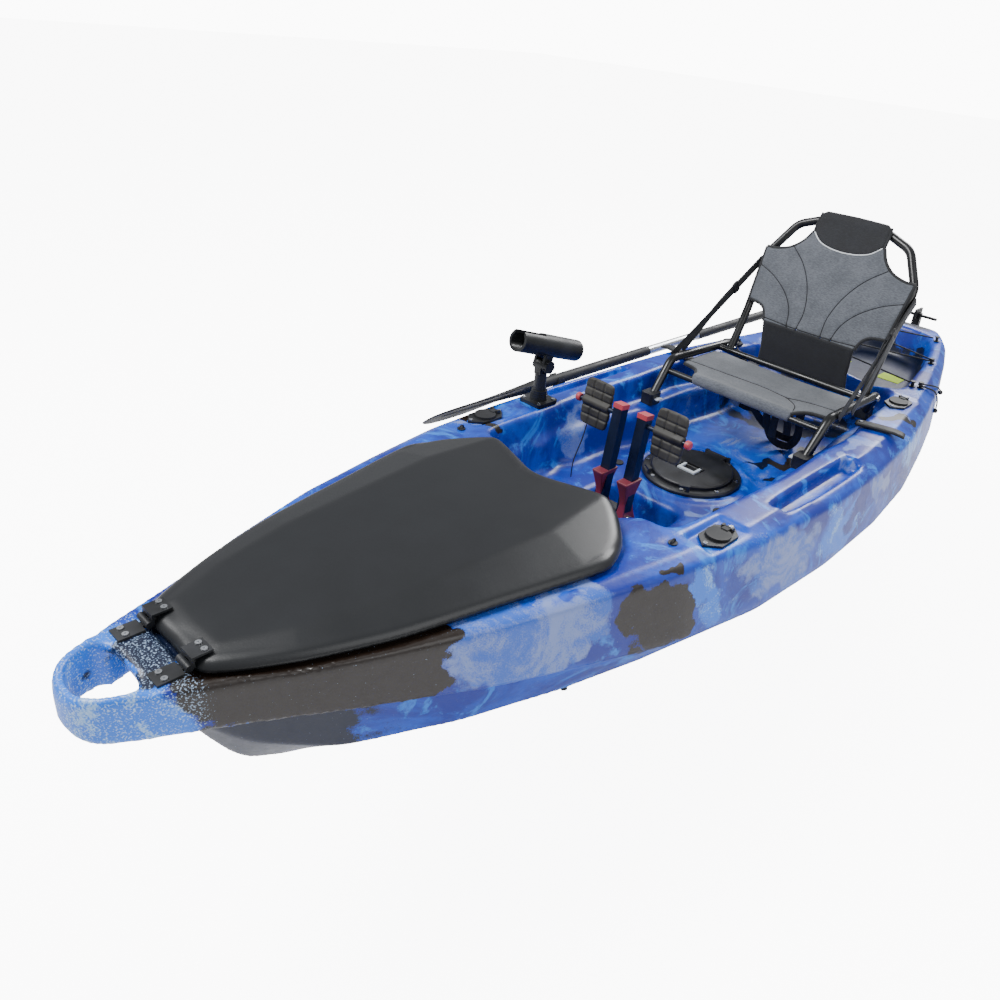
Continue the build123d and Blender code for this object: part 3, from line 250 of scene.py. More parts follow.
def spline_cord(name, points, diameter_mm, finish, body):
    """One open NURBS curve through control points given in millimetres."""
    curve = bpy.data.curves.new(name, "CURVE")
    curve.dimensions = "3D"
    curve.bevel_depth = diameter_mm / 2 * MM
    curve.bevel_resolution = 5
    curve.resolution_u = 16
    curve.use_fill_caps = True
    line = curve.splines.new("NURBS")
    line.points.add(len(points) - 1)
    for spot, (x, y, z) in zip(line.points, points):
        spot.co = (x * MM, y * MM, z * MM, 1.0)
    line.order_u = 3
    line.use_endpoint_u = True
    curve.materials.append(finish)
    piece = bpy.data.objects.new(name, curve)
    bpy.context.collection.objects.link(piece)
    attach(piece, body)
    return piece


def cord_length(points):
    """Length in metres of the smooth line that such points give."""
    curve = bpy.data.curves.new("measure", "CURVE")
    curve.dimensions = "3D"
    curve.resolution_u = 24
    line = curve.splines.new("NURBS")
    line.points.add(len(points) - 1)
    for spot, (x, y, z) in zip(line.points, points):
        spot.co = (x * MM, y * MM, z * MM, 1.0)
    line.order_u = 3
    line.use_endpoint_u = True
    holder = bpy.data.objects.new("measure", curve)
    mesh = bpy.data.meshes.new_from_object(holder)
    spots = [v.co.copy() for v in mesh.vertices]
    bpy.data.meshes.remove(mesh)
    bpy.data.objects.remove(holder)
    bpy.data.curves.remove(curve)
    return sum((b - a).length for a, b in zip(spots, spots[1:]))


# Braided elastic: a dull sheath whose weave shows as a fine ribbing.
bungee_black = grained("braided_bungee_black", "#1b1c1f", 0.7, 1.2, 0.30, tint="#303238", share=0.5)
TANK_CORD = [
    (252.1, 863.0, 317.7), (-257.9, 970.5, 323.1), (-257.9, 989.5, 323.1),
    (231.9, 1090.5, 327.6), (231.9, 1109.5, 327.6), (-197.9, 1210.5, 331.9),
    (-197.9, 1229.5, 331.9), (138.1, 1326.5, 336.3),
]
SIDE_CORD = [
    (314, 985, 212), (334, 918, 297), (283.7, 860.4, 318),
    (271.4, 871.3, 318), (322, 950, 304), (284, 1085, 240),
]
PEDAL_CORD = [(-126, -217, 325), (-130, -220, 287), (-141, -223, 247), (-146, -231, 210), (-147, -228, 172)]
for name, points, wide, body, end, lay, stiffness, node in (
        ("tank_bungee_cord", TANK_CORD, 5.0, "hull", "object", "taut", "medium", "tank_bungee"),
        ("side_bungee_cord", SIDE_CORD, 5.0, "hull", "object", "taut", "medium", "side_bungee"),
        ("pedal_cord_line", PEDAL_CORD, 3.2, "pedal_starboard", "bare", "hanging", "limp", "pedal_cord")):
    piece = spline_cord(name, points, wide, bungee_black, body)
    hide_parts(node)
    length = cord_length(points)
    print(name, round(length, 3), "m")

# %% [markdown]
# ## Shapes as distance fields
# A rotomoulded hull has no sharp edge anywhere: the powder melts into generous
# fillets. Modelling that with booleans and bevels is fragile, so the hull is
# written as a distance field instead. Each well is "how deep inside am I", a
# soft maximum cuts one from another with a fillet of a chosen radius, and the
# surface is then walked with surface nets, which place one point in every
# cell that the surface crosses.
# %% Distance helpers


def soft_max(a, b, radius):
    """Maximum of two fields with a fillet of about the radius where they meet."""
    blend = np.clip(radius - np.abs(a - b), 0.0, None) / radius
    return np.maximum(a, b) + blend * blend * radius / 4.0


def soft_min(a, b, radius):
    return -soft_max(-a, -b, radius)


def polygon_field(points, px, py):
    """Signed distance from each place to a closed outline, negative inside."""
    best = np.full(px.shape, 1e12)
    inside = np.zeros(px.shape, dtype=bool)
    count = len(points)
    for i in range(count):
        ax, ay = points[i]
        bx, by = points[(i + 1) % count]
        ex, ey = bx - ax, by - ay
        share = np.clip(((px - ax) * ex + (py - ay) * ey) / (ex * ex + ey * ey + 1e-9), 0.0, 1.0)
        gap = (px - ax - share * ex) ** 2 + (py - ay - share * ey) ** 2
        best = np.minimum(best, gap)
        if ay != by:
            crosses = ((ay > py) != (by > py)) & (px < ex * (py - ay) / ey + ax)
            inside ^= crosses
    return np.where(inside, -1.0, 1.0) * np.sqrt(best)


def rounded(points, steps=6, pull=0.5):
    """A closed outline as a Catmull-Rom line through its corners."""
    result = []
    count = len(points)
    for i in range(count):
        p0, p1, p2, p3 = (np.array(points[(i + k) % count], float) for k in (-1, 0, 1, 2))
        for step in range(steps):
            t = step / steps
            m1, m2 = (p2 - p0) * pull * 0.9, (p3 - p1) * pull * 0.9
            result.append(tuple(
                (2 * t ** 3 - 3 * t ** 2 + 1) * p1 + (t ** 3 - 2 * t ** 2 + t) * m1
                + (-2 * t ** 3 + 3 * t ** 2) * p2 + (t ** 3 - t ** 2) * m2))
    return result


def mirrored(half):
    """A closed outline from its port half, whose first and last points may lie on the middle line."""
    return list(half) + [(-x, y) for x, y in reversed(half) if x > 0]


def surface(field, origin, step):
    """Surface nets: vertices and quads where a field changes sign, in millimetres."""
    shape = field.shape
    cells = tuple(n - 1 for n in shape)
    total = np.zeros(cells + (3,))
    number = np.zeros(cells)
    for axis in range(3):
        others = [a for a in range(3) if a != axis]
        for da in (0, 1):
            for db in (0, 1):
                low = [slice(0, n) for n in cells]
                low[others[0]] = slice(da, da + cells[others[0]])
                low[others[1]] = slice(db, db + cells[others[1]])
                high = list(low)
                high[axis] = slice(1, cells[axis] + 1)
                a, b = field[tuple(low)], field[tuple(high)]
                cross = (a < 0) != (b < 0)
                share = np.where(cross, a / np.where(cross, a - b, 1.0), 0.0)
                number += cross
                total[..., axis] += share
                total[..., others[0]] += cross * da
                total[..., others[1]] += cross * db
    active = number > 0
    index = np.full(cells, -1, dtype=np.int64)
    index[active] = np.arange(int(active.sum()))
    corner = np.stack(np.nonzero(active), axis=1)
    places = (total[active] / number[active][:, None] + corner) * np.array(step) + np.array(origin)
    quads = []
    for axis in range(3):
        u, v = (axis + 1) % 3, (axis + 2) % 3
        inner = [slice(1, n - 1) for n in shape]
        inner[axis] = slice(0, shape[axis] - 1)
        ahead = list(inner)
        ahead[axis] = slice(1, shape[axis])
        a, b = field[tuple(inner)], field[tuple(ahead)]
        for flip, hit in ((False, (a < 0) & (b >= 0)), (True, (a >= 0) & (b < 0))):
            spots = np.stack(np.nonzero(hit), axis=1)
            spots[:, u] += 1
            spots[:, v] += 1
            ring = []
            for du, dv in ((-1, -1), (0, -1), (0, 0), (-1, 0)):
                cell = spots.copy()
                cell[:, u] += du
                cell[:, v] += dv
                ring.append(index[cell[:, 0], cell[:, 1], cell[:, 2]])
            face = np.stack(ring if not flip else ring[::-1], axis=1)
            quads.append(face)
    return places, np.concatenate(quads)


def settle(field, origin, step, spots, turns=3):
    """Slides every place along the slope of the field until it lies on the surface."""
    spots = np.array(spots, float)
    slope = np.stack(np.gradient(field, *step), axis=-1)
    values = np.concatenate([field[..., None], slope], axis=-1)
    top = np.array(field.shape) - 2
    for _ in range(turns):
        where = (spots - np.array(origin)) / np.array(step)
        low = np.clip(np.floor(where).astype(int), 0, top)
        part = np.clip(where - low, 0.0, 1.0)
        found = np.zeros((len(spots), 4))
        for corner in range(8):
            bits = np.array([corner & 1, corner >> 1 & 1, corner >> 2 & 1])
            share = np.prod(np.where(bits, part, 1 - part), axis=1)
            cell = low + bits
            found += share[:, None] * values[cell[:, 0], cell[:, 1], cell[:, 2]]
        steep = (found[:, 1:] ** 2).sum(axis=1) + 1e-6
        move = -found[:, :1] * found[:, 1:] / steep[:, None]
        limit = 0.5 * min(step)
        length = np.linalg.norm(move, axis=1)[:, None] + 1e-9
        spots += move * np.minimum(1.0, limit / length)
    return spots


def piece_from(name, places, faces, finish, body, smooth=True):
    """A mesh object from places in millimetres, riding on a body."""
    mesh = bpy.data.meshes.new(name)
    points = np.asarray(places, float) * MM
    mesh.from_pydata(points.tolist(), [], [tuple(int(i) for i in f) for f in faces])
    mesh.validate()
    mesh.update()
    if smooth:
        mesh.shade_smooth()
    mesh.materials.append(finish)
    piece = bpy.data.objects.new(name, mesh)
    bpy.context.collection.objects.link(piece)
    if body:
        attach(piece, body)
    return piece


print("helpers ready")

# %% [markdown]
# ## The hull
# The lines come from the boat's own stations, each a half section from the
# deck crease down to the keel. The deck is a height over the plan, flattened
# under every fitting, and the wells are tapered pockets with melted-looking
# lips. Between the wells and the shell the real hull is hollow and sealed, so
# nobody sees that space and the field stays solid there.
# %% Hull tables
STATIONS = (
    (-1472, (30, 318), (32, 316), (30, 242), (24, 240), (12, 238), (6, 236)),
    (-1456, (52, 319), (55, 317), (52, 239), (44, 236), (22, 234), (8, 232)),
    (-1425, (70, 318), (75, 315), (71, 236), (60, 232), (30, 228), (10, 226)),
    (-1385, (84, 317), (90, 313), (86, 231), (74, 226), (34, 220), (12, 216)),
    (-1320, (111, 312), (118, 308), (111, 222), (60, 216), (34, 200), (15, 188)),
    (-1280, (126, 311), (134, 306), (126, 217), (60, 210), (46, 150), (20, 112)),
    (-1230, (146, 310), (155, 305), (147, 211), (76, 204), (70, 108), (30, 38)),
    (-1150, (181, 309), (192, 304), (184, 203), (116, 195), (105, 72), (40, 4)),
    (-1100, (200, 308), (214, 304), (206, 198), (150, 188), (135, 60), (48, -4)),
    (-900, (269, 308), (287, 302), (288, 177), (255, 164), (215, 48), (62, -4)),
    (-700, (311, 307), (338, 297), (350, 158), (330, 140), (275, 42), (74, -4)),
    (-500, (348, 306), (382, 292), (405, 142), (390, 120), (320, 36), (84, -4)),
    (-250, (376, 298), (417, 278), (441, 132), (428, 105), (350, 32), (94, -4)),
    (50, (380, 297), (432, 268), (450, 122), (438, 95), (360, 30), (100, -4)),
    (300, (376, 298), (425, 268), (444, 122), (430, 95), (350, 30), (100, -4)),
    (550, (356, 301), (402, 272), (416, 124), (402, 98), (325, 33), (98, -4)),
    (800, (311, 306), (350, 280), (362, 132), (348, 106), (282, 36), (88, -4)),
    (1000, (266, 315), (298, 290), (312, 140), (300, 115), (235, 40), (76, -4)),
    (1200, (212, 322), (238, 300), (250, 150), (238, 126), (180, 50), (60, 4)),
    (1350, (164, 328), (185, 305), (192, 168), (180, 146), (130, 75), (45, 24)),
    (1440, (114, 330), (135, 309), (138, 184), (128, 166), (85, 110), (30, 62)),
    (1472, (60, 329), (76, 310), (78, 190), (70, 176), (42, 150), (18, 112)),
)
LID_HALF = (
    (0, -1312), (92, -1306), (160, -1189), (214, -1044), (255, -865),
    (296, -680), (300, -620), (262, -545), (165, -478), (0, -522),
)
# Each well: its rim outline and height, its floor outline and height, corner fillet, lip fillet.
COCKPIT_RIM = (
    (0, -535), (150, -500), (215, -425), (285, -395), (298, -190), (310, 0),
    (300, 210), (304, 365), (284, 500), (238, 770), (0, 770),
)
COCKPIT_LEDGE = (
    (0, -520), (135, -490), (200, -415), (262, -385), (275, -190), (284, 0),
    (282, 210), (284, 365), (262, 500), (220, 760), (0, 760),
)
FOOT_RIM = (
    (0, -512), (125, -480), (190, -405), (246, -368), (252, -190), (254, 0),
    (226, 150), (226, 365), (212, 500), (188, 745), (0, 745),
)
FOOT_FLOOR = (
    (0, -500), (115, -470), (180, -396), (234, -358), (238, -190), (240, 0),
    (214, 150), (214, 365), (200, 500), (178, 735), (0, 735),
)
DRIVE_WELL = ((0, -385), (100, -380), (110, -240), (100, -100), (0, -95))
DRIVE_SLOT = ((0, -380), (40, -378), (40, -102), (0, -100))
BIN_RIM = ((0, -1200), (60, -1190), (150, -1030), (215, -860), (245, -680), (200, -590), (0, -590))
BIN_FLOOR = ((0, -1120), (30, -1110), (80, -1000), (120, -850), (150, -700), (130, -630), (0, -630))
TANK_RIM = ((0, 800), (238, 800), (228, 1000), (188, 1180), (122, 1350), (0, 1392))
TANK_FLOOR = ((0, 822), (208, 822), (200, 990), (164, 1165), (100, 1325), (0, 1362))
SIDE_RECESS = (
    (352, -110), (372, -128), (386, -120), (394, 0),
    (392, 220), (380, 240), (362, 236), (352, 210),
)
RING_HOLE = ((0, -1454), (30, -1449), (52, -1430), (66, -1392), (40, -1377), (0, -1375))
LID_SEAT = 302.3
# Flats that carry a fitting: x, y, half width, half length, height of the flat.
FLATS = (
    (353, -344, 34, 60, 290.3), (-353, -344, 34, 60, 290.3),
    (290, 694, 34, 60, 301.7), (-290, 694, 34, 60, 301.7),
    (-335, -170, 39, 39, 296.6), (317, -455, 12, 12, 303.2), (-317, -455, 12, 12, 303.2),
    (262, 860, 12, 12, 307.2), (-250, 980, 12, 12, 312.6), (224, 1100, 12, 12, 317.1),
    (-190, 1220, 12, 12, 321.4), (150, 1330, 12, 12, 325.8), (283, 872, 12, 12, 307.5),
    (64, -1346, 20, 32, 311.3), (-64, -1346, 20, 32, 311.3),
)
ROD_WELLS = ((353, -344, 290.3), (-353, -344, 290.3), (290, 694, 301.7), (-290, 694, 301.7))
print("stations", len(STATIONS))

# %% Hull field
CELL = 6.5
xs = np.arange(-462, 462 + CELL, CELL)
ys = np.arange(-1490, 1492 + CELL, CELL)
zs = np.arange(-CELL * 2.3, 345, CELL)
plan_x, plan_y = np.meshgrid(xs, ys, indexing="ij")
table = np.array([[v for pair in row[1:] for v in pair] for row in STATIONS], float)
rows_y = np.array([row[0] for row in STATIONS], float)
fine_y = np.arange(-1472, 1473, 4.0)
smooth_rows = np.stack([np.interp(fine_y, rows_y, table[:, k]) for k in range(12)], axis=1)
reach = np.arange(-12, 13)
weight = np.exp(-(reach / 6.0) ** 2)
weight /= weight.sum()
padded = np.pad(smooth_rows, ((12, 12), (0, 0)), mode="edge")
padded[:12] = 2 * smooth_rows[:1] - smooth_rows[12:0:-1]
padded[-12:] = 2 * smooth_rows[-1:] - smooth_rows[-2:-14:-1]
smooth_rows = sum(w * padded[k:k + len(fine_y)] for k, w in enumerate(weight))


def line_at(y):
    """The twelve smoothed offsets at each place along the hull."""
    return [np.interp(y, fine_y, smooth_rows[:, k]) for k in range(12)]


def deck_at(x, y):
    """Height of the deck, with a flat under every fitting and the lid's sunk seat."""
    crease_x, crease_z, edge_x, edge_z = line_at(y)[:4]
    share = np.clip((np.abs(x) - crease_x) / np.maximum(edge_x - crease_x, 1.0), 0.0, 4.0)
    height = crease_z + (edge_z - crease_z) * share
    for fx, fy, half_x, half_y, flat_z in FLATS:
        gap = np.maximum(np.abs(x - fx) - half_x, np.abs(y - fy) - half_y)
        share = np.clip(gap / 14.0, 0.0, 1.0)
        height = flat_z + (height - flat_z) * share * share * (3 - 2 * share)
    lid_gap = polygon_field(mirrored(LID_HALF), x, y) - 4.0
    share = np.clip(lid_gap / 8.0, 0.0, 1.0)
    return LID_SEAT + (height - LID_SEAT) * share * share * (3 - 2 * share)


def well(rim, floor, rim_z, floor_z, corner, x, y, z, bulge=0.0):
    """A tapered pocket, negative inside, with a fillet round its floor."""
    upper = polygon_field(rounded(mirrored(rim)), x, y)
    lower = polygon_field(rounded(mirrored(floor)), x, y)
    share = np.clip((z - floor_z) / (rim_z - floor_z), 0.0, 1.3)[None, None, :]
    wall = lower[:, :, None] * (1 - share) + upper[:, :, None] * share + bulge
    return soft_max(wall, (floor_z - z)[None, None, :] + 0 * wall, corner)


deck_height = deck_at(plan_x, plan_y)
body = np.empty((len(xs), len(ys), len(zs)))
grid_x, grid_z = np.meshgrid(xs, zs, indexing="ij")
for j, y in enumerate(ys):
    inside_y = min(max(y, -1472), 1472)
    c = [float(v) for v in line_at(inside_y)]
    outline = [(c[2] - 6, 420), (c[2], c[3]), (c[4], c[5]), (c[6], c[7]), (c[8], c[9]), (c[10], c[11])]
    outline = outline + [(-a, b) for a, b in reversed(outline)]
    body[:, j, :] = polygon_field(outline, grid_x, grid_z) + abs(y - inside_y)
body = soft_max(body, zs[None, None, :] - deck_height[:, :, None], 10.0)
body = soft_max(body, (0.0 - zs)[None, None, :] + 0 * body, 8.0)
body = soft_max(body, (np.abs(plan_y) - 1472.0)[:, :, None] + 0 * body, 30.0)
print("solid hull field", body.shape)

# %% [markdown]
# The cockpit wall is not plain: beside the pedals it is scalloped into heel
# rests, which are smooth dents one behind the other. The floor carries a low
# ring round the hatch and the drive well has a wide flared lip.
# %% Cut the wells
cockpit = well(COCKPIT_RIM, COCKPIT_LEDGE, 330, 228, 22, plan_x, plan_y, zs)
scallop = np.zeros_like(plan_x)
for centre, size in ((-352, 30), (-262, 36), (-160, 40)):
    scallop += np.exp(-((plan_y - centre) / size) ** 2)
side_only = np.clip((np.abs(plan_x) - 150) / 60, 0, 1)
dent = (-16.0 * scallop * side_only)[:, :, None] * np.clip((300 - zs) / 90, 0, 1)[None, None, :]
foot = well(FOOT_RIM, FOOT_FLOOR, 228, 135, 26, plan_x, plan_y, zs, dent)
foot = soft_max(foot, (zs - 262)[None, None, :] + 0 * foot, 12.0)
cockpit = soft_min(cockpit, foot, 26.0)
body = soft_max(body, -cockpit, 16.0)
drive = well(DRIVE_WELL, DRIVE_WELL, 136, 60, 18, plan_x, plan_y, zs)
drive = soft_max(drive, (zs - 175)[None, None, :] + 0 * drive, 6.0)
body = soft_max(body, -drive, 30.0)
slot_gap = polygon_field(mirrored(DRIVE_SLOT), plan_x, plan_y)[:, :, None] + 0 * body
body = soft_max(body, -soft_max(slot_gap, (zs - 90)[None, None, :] + 0 * body, 4.0), 8.0)
tank = well(TANK_RIM, TANK_FLOOR, 330, 215, 20, plan_x, plan_y, zs)
body = soft_max(body, -tank, 16.0)
bin_well = well(BIN_RIM, BIN_FLOOR, 320, 110, 24, plan_x, plan_y, zs)
body = soft_max(body, -bin_well, 12.0)
ring_hole = polygon_field(rounded(mirrored(RING_HOLE)), plan_x, plan_y)[:, :, None] + 0 * body
body = soft_max(body, -ring_hole, 9.0)
band = np.interp(ys, fine_y, smooth_rows[:, 0])[None, :] - 25.0
under_plate = soft_max(np.abs(plan_x) - band, np.abs(plan_y + 1386.0) - 56.0, 12.0)
under_plate = soft_max(under_plate[:, :, None] + 0 * body, (zs - 293.0)[None, None, :] + 0 * body, 12.0)
body = soft_max(body, -under_plate, 9.0)
for side in (1, -1):
    recess = polygon_field(rounded([(side * x, y) for x, y in SIDE_RECESS]), plan_x, plan_y)
    dip = soft_max(recess[:, :, None] + 0 * body, (262 - zs)[None, None, :] + 0 * body, 14.0)
    body = soft_max(body, -dip, 14.0)
reach_hatch = np.hypot(plan_x, plan_y - 104)
bore = soft_max((reach_hatch - 104)[:, :, None] + 0 * body, (75 - zs)[None, None, :] + 0 * body, 8.0)
bore = soft_max(bore, (zs - 180)[None, None, :] + 0 * body, 2.0)
body = soft_max(body, -bore, 4.0)
ring = np.sqrt((reach_hatch - 152)[:, :, None] ** 2 + ((zs - 131) * 1.0)[None, None, :] ** 2) - 9.0
body = soft_min(body, ring, 12.0)
for rx, ry, rz in ROD_WELLS:
    tilt = math.radians(15)
    across_well = (plan_x - rx)[:, :, None]
    down = (rz - zs)[None, None, :]
    along_well = (plan_y - ry)[:, :, None] + down * math.tan(tilt)
    sleeve = np.sqrt(across_well ** 2 + (along_well * math.cos(tilt)) ** 2) - 23.5
    sleeve = soft_max(sleeve, down - 150 + 0 * sleeve, 4.0)
    body = soft_max(body, -sleeve, 1.5)
places, quads = surface(body, (xs[0], ys[0], zs[0]), (CELL, CELL, CELL))
places = settle(body, (xs[0], ys[0], zs[0]), (CELL, CELL, CELL), places)
print("hull surface", len(places), "places", len(quads), "quads")

# %% [markdown]
# ## Marbled polyethylene
# Camouflage hulls are made by throwing several colours of powder into one
# mould, so patches of colour run into each other with grainy, feathered
# borders, and single grains of white powder melt into the blue as speckles.
# The big patches are given in tables and stored on the surface's points; the
# shader adds the swirls, the feathering and the speckle, and leaves a low
# gloss with a fine orange-peel.
# %% Patches of powder colour


def warp(spots, size, amount, seed):
    """Pushes places about with smooth waves of four sizes, so that a patch gets a ragged outline."""
    moved = np.array(spots, float)
    for octave in range(4):
        pitch, height = 1.9 ** octave / size, amount * 0.6 ** octave / 2.2
        for axis in range(3):
            tilt = seed + 2.3 * axis + 1.7 * octave
            ahead = np.array([math.sin(tilt), math.cos(1.3 * tilt), math.sin(0.7 * tilt + 1.0)])
            aside = np.array([math.cos(tilt), math.sin(0.9 * tilt + 2.0), math.cos(1.1 * tilt)])
            along = np.sin(6.3 * pitch * (spots @ ahead) + 3 * tilt)
            across = np.cos(5.1 * pitch * (spots @ aside) - tilt)
            moved[:, axis] += height * (along * across)
    return moved


def patch(spots, centre, radii, power=2.5):
    """1 in the middle of a patch, 0 on its outline, negative outside."""
    reach = np.abs((spots - np.array(centre, float)) / np.array(radii, float)) ** power
    return np.clip(1.0 - reach.sum(axis=1), -1.0, 1.0)


def paint(piece, name, values):
    layer = piece.data.attributes.new(name, "FLOAT", "POINT")
    layer.data.foreach_set("value", np.asarray(values, dtype=np.float32))


hull_marbled, tree, shader = start_finish("rotomoulded_polyethylene_marbled", "#2c7de6", 0.3, ior=1.54)
hull = piece_from("hull_shell", places, quads, hull_marbled, "hull")
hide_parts("hull")
ragged = warp(places, 260.0, 62.0, 3.1)
CHARCOAL_PATCHES = (
    ((175, -1150, 258), (150, 184, 92), 6.0),
    ((400, -548, 200), (70, 96, 76), 3.0),
    ((330, -520, 300), (30, 34, 18), 2.5),
    ((-335, -395, 300), (40, 60, 30), 2.5),
    ((-190, -420, 240), (40, 50, 60), 2.5),
    ((330, 560, 300), (24, 70, 30), 2.5),
    ((350, 640, 250), (20, 44, 44), 2.5),
    ((170, 420, 150), (70, 130, 26), 2.5),
)
PALE_PATCHES = (
    ((300, -818, 240), (130, 180, 74), 4.0),
    ((430, -190, 205), (70, 165, 84), 3.0),
    ((430, 330, 225), (40, 60, 50), 2.5),
    ((120, -20, 132), (60, 90, 20), 2.5),
    ((-60, -420, 140), (90, 50, 30), 2.5),
    ((300, 620, 290), (50, 130, 40), 2.5),
    ((350, 300, 285), (30, 110, 30), 2.5),
    ((-300, -90, 200), (50, 90, 70), 2.5),
)
ROYAL_PATCHES = (
    ((372, -640, 232), (60, 34, 80), 4.0),
    ((425, -60, 260), (40, 80, 40), 2.5),
    ((440, 190, 200), (40, 90, 50), 2.5),
    ((-150, -300, 150), (120, 120, 40), 2.5),
    ((60, -180, 110), (60, 120, 60), 2.5),
    ((250, 900, 315), (60, 120, 30), 2.5),
    ((-240, 60, 180), (60, 160, 60), 2.5),
)
NAVY_PATCHES = (
    ((0, -1338, 300), (92, 52, 60), 4.0),
    ((0, -1180, 90), (180, 190, 112), 4.0),
    ((0, 1090, 225), (250, 320, 60), 4.0),
    ((0, 1460, 250), (160, 90, 120), 3.0),
    ((0, 640, 190), (260, 120, 80), 3.0),
    ((120, 330, 138), (130, 120, 14), 2.5),
)
SKY_PATCHES = (
    ((0, -1425, 270), (150, 112, 90), 6.0),
    ((410, -430, 200), (60, 60, 90), 2.5),
    ((440, 120, 190), (50, 150, 60), 2.5),
    ((430, 620, 230), (60, 130, 60), 2.5),
    ((0, -200, 160), (90, 110, 40), 2.5),
)
for name, table in (("sky", SKY_PATCHES), ("charcoal", CHARCOAL_PATCHES), ("pale", PALE_PATCHES),
                    ("royal", ROYAL_PATCHES), ("navy", NAVY_PATCHES)):
    best = np.full(len(places), -1.0)
    for centre, radii, power in table:
        best = np.maximum(best, patch(ragged, centre, radii, power))
    paint(hull, name, best)
bow_speckle = np.clip((-1295 - places[:, 1]) / 30.0, 0, 1)
paint(hull, "speckle", bow_speckle)
print("painted", len(places), "points")

# %% Marbled shader
BLUE, ROYAL, SKY, PALE, NAVY, CHARCOAL = "#084cc4", "#052592", "#207ae0", "#788cc6", "#08142e", "#1b120c"
place = add(tree, "ShaderNodeTexCoord").outputs["Object"]
swirl = add(tree, "ShaderNodeTexNoise", {
    "Vector": place, "Scale": 4.2, "Detail": 7.0, "Roughness": 0.62, "Distortion": 1.3})
veins = add(tree, "ShaderNodeTexNoise", {
    "Vector": place, "Scale": 6.5, "Detail": 8.0, "Roughness": 0.66, "Distortion": 2.4})
# Powder grains are under a millimetre; they are drawn near 3 mm so that they show.
grain = add(tree, "ShaderNodeTexNoise", {"Vector": place, "Scale": 1.0 / (3.0 * MM), "Detail": 2.0})
feather = add(tree, "ShaderNodeTexNoise", {
    "Vector": place, "Scale": 1.0 / (18.0 * MM), "Detail": 6.0, "Roughness": 0.75})


def blend_colour(tree, share, first, second):
    mix = add(tree, "ShaderNodeMix", {0: share, 6: first, 7: second}, data_type="RGBA")
    return mix.outputs[2]


def step_up(tree, value, low, high):
    made = add(tree, "ShaderNodeMapRange", {"Value": value, "From Min": low, "From Max": high},
               interpolation_type="SMOOTHSTEP")
    return made.outputs["Result"]


def sum_of(tree, a, b, scale):
    """a plus b times scale."""
    made = add(tree, "ShaderNodeMath", {0: b, 1: scale, 2: a}, operation="MULTIPLY_ADD")
    return made.outputs["Value"]


swirl_share = step_up(tree, swirl.outputs["Fac"], 0.40, 0.60)
shade = blend_colour(tree, swirl_share, colour(ROYAL), colour(BLUE))
shade = blend_colour(tree, step_up(tree, veins.outputs["Fac"], 0.53, 0.66), shade, colour(SKY))
white_value = sum_of(tree, swirl.outputs["Fac"], grain.outputs["Fac"], 0.25)
shade = blend_colour(tree, step_up(tree, white_value, 0.74, 0.84), shade, colour(PALE))
streak_value = sum_of(tree, veins.outputs["Fac"], grain.outputs["Fac"], 0.35)
frosted = blend_colour(tree, step_up(tree, streak_value, 0.58, 0.80), colour(PALE), colour("#2c5ec4"))
misty = blend_colour(tree, step_up(tree, streak_value, 0.66, 0.80), colour("#1f74e6"), colour("#8fbdf2"))
for name, paint_colour, soft in (("sky", misty, 0.5), ("royal", colour(ROYAL), 0.45), ("pale", frosted, 0.5),
                                 ("navy", colour(NAVY), 0.34), ("charcoal", colour(CHARCOAL), 0.2)):
    region = add(tree, "ShaderNodeAttribute", attribute_name=name)
    ragged_value = sum_of(tree, region.outputs["Fac"], feather.outputs["Fac"], 1.1)
    grainy = sum_of(tree, ragged_value, grain.outputs["Fac"], 0.5)
    shade = blend_colour(tree, step_up(tree, grainy, 0.86, 0.86 + soft), shade, paint_colour)
speckle_region = add(tree, "ShaderNodeAttribute", attribute_name="speckle")
speckle_level = sum_of(tree, grain.outputs["Fac"], speckle_region.outputs["Fac"], 0.17)
speckle_level = sum_of(tree, speckle_level, veins.outputs["Fac"], 0.10)
speckles = step_up(tree, speckle_level, 0.76, 0.86)
speckle_share = add(tree, "ShaderNodeMath", {0: speckles, 1: 0.55}, operation="MULTIPLY").outputs["Value"]
shade = blend_colour(tree, speckle_share, shade, colour("#bcd8fa"))
tree.links.new(shade, shader.inputs["Base Color"])
gloss = add(tree, "ShaderNodeMapRange", {
    "Value": feather.outputs["Fac"], "From Min": 0.3, "From Max": 0.7, "To Min": 0.27, "To Max": 0.42})
tree.links.new(gloss.outputs["Result"], shader.inputs["Roughness"])
peel = add(tree, "ShaderNodeTexNoise", {"Vector": place, "Scale": 1.0 / (5.0 * MM), "Detail": 3.0})
bump = add(tree, "ShaderNodeBump", {"Height": peel.outputs["Fac"], "Strength": 0.5, "Distance": 0.35 * MM})
tree.links.new(bump.outputs["Normal"], shader.inputs["Normal"])
print("marbled finish has", len(tree.nodes), "nodes")

# %% [markdown]
# ## The front hatch lid
# The lid is one hollow moulding with a fat rolled rim. Its top is a low plate
# that climbs slowly towards the rear, between two side facets that slope down
# to the rim, so two creases run back from the hinges to the rear corners.
# %% Lid
LID_BASE, LID_RIM = 306.3, 332.3
lid_line = rounded(mirrored(LID_HALF), 6, 0.42)
step = 4.0
lx, ly = np.arange(-318, 318, step), np.arange(-1330, -460, step)
lz = np.arange(LID_BASE - 2.3 * step, 374, step)
lid_x, lid_y = np.meshgrid(lx, ly, indexing="ij")
edge = polygon_field(lid_line, lid_x, lid_y)
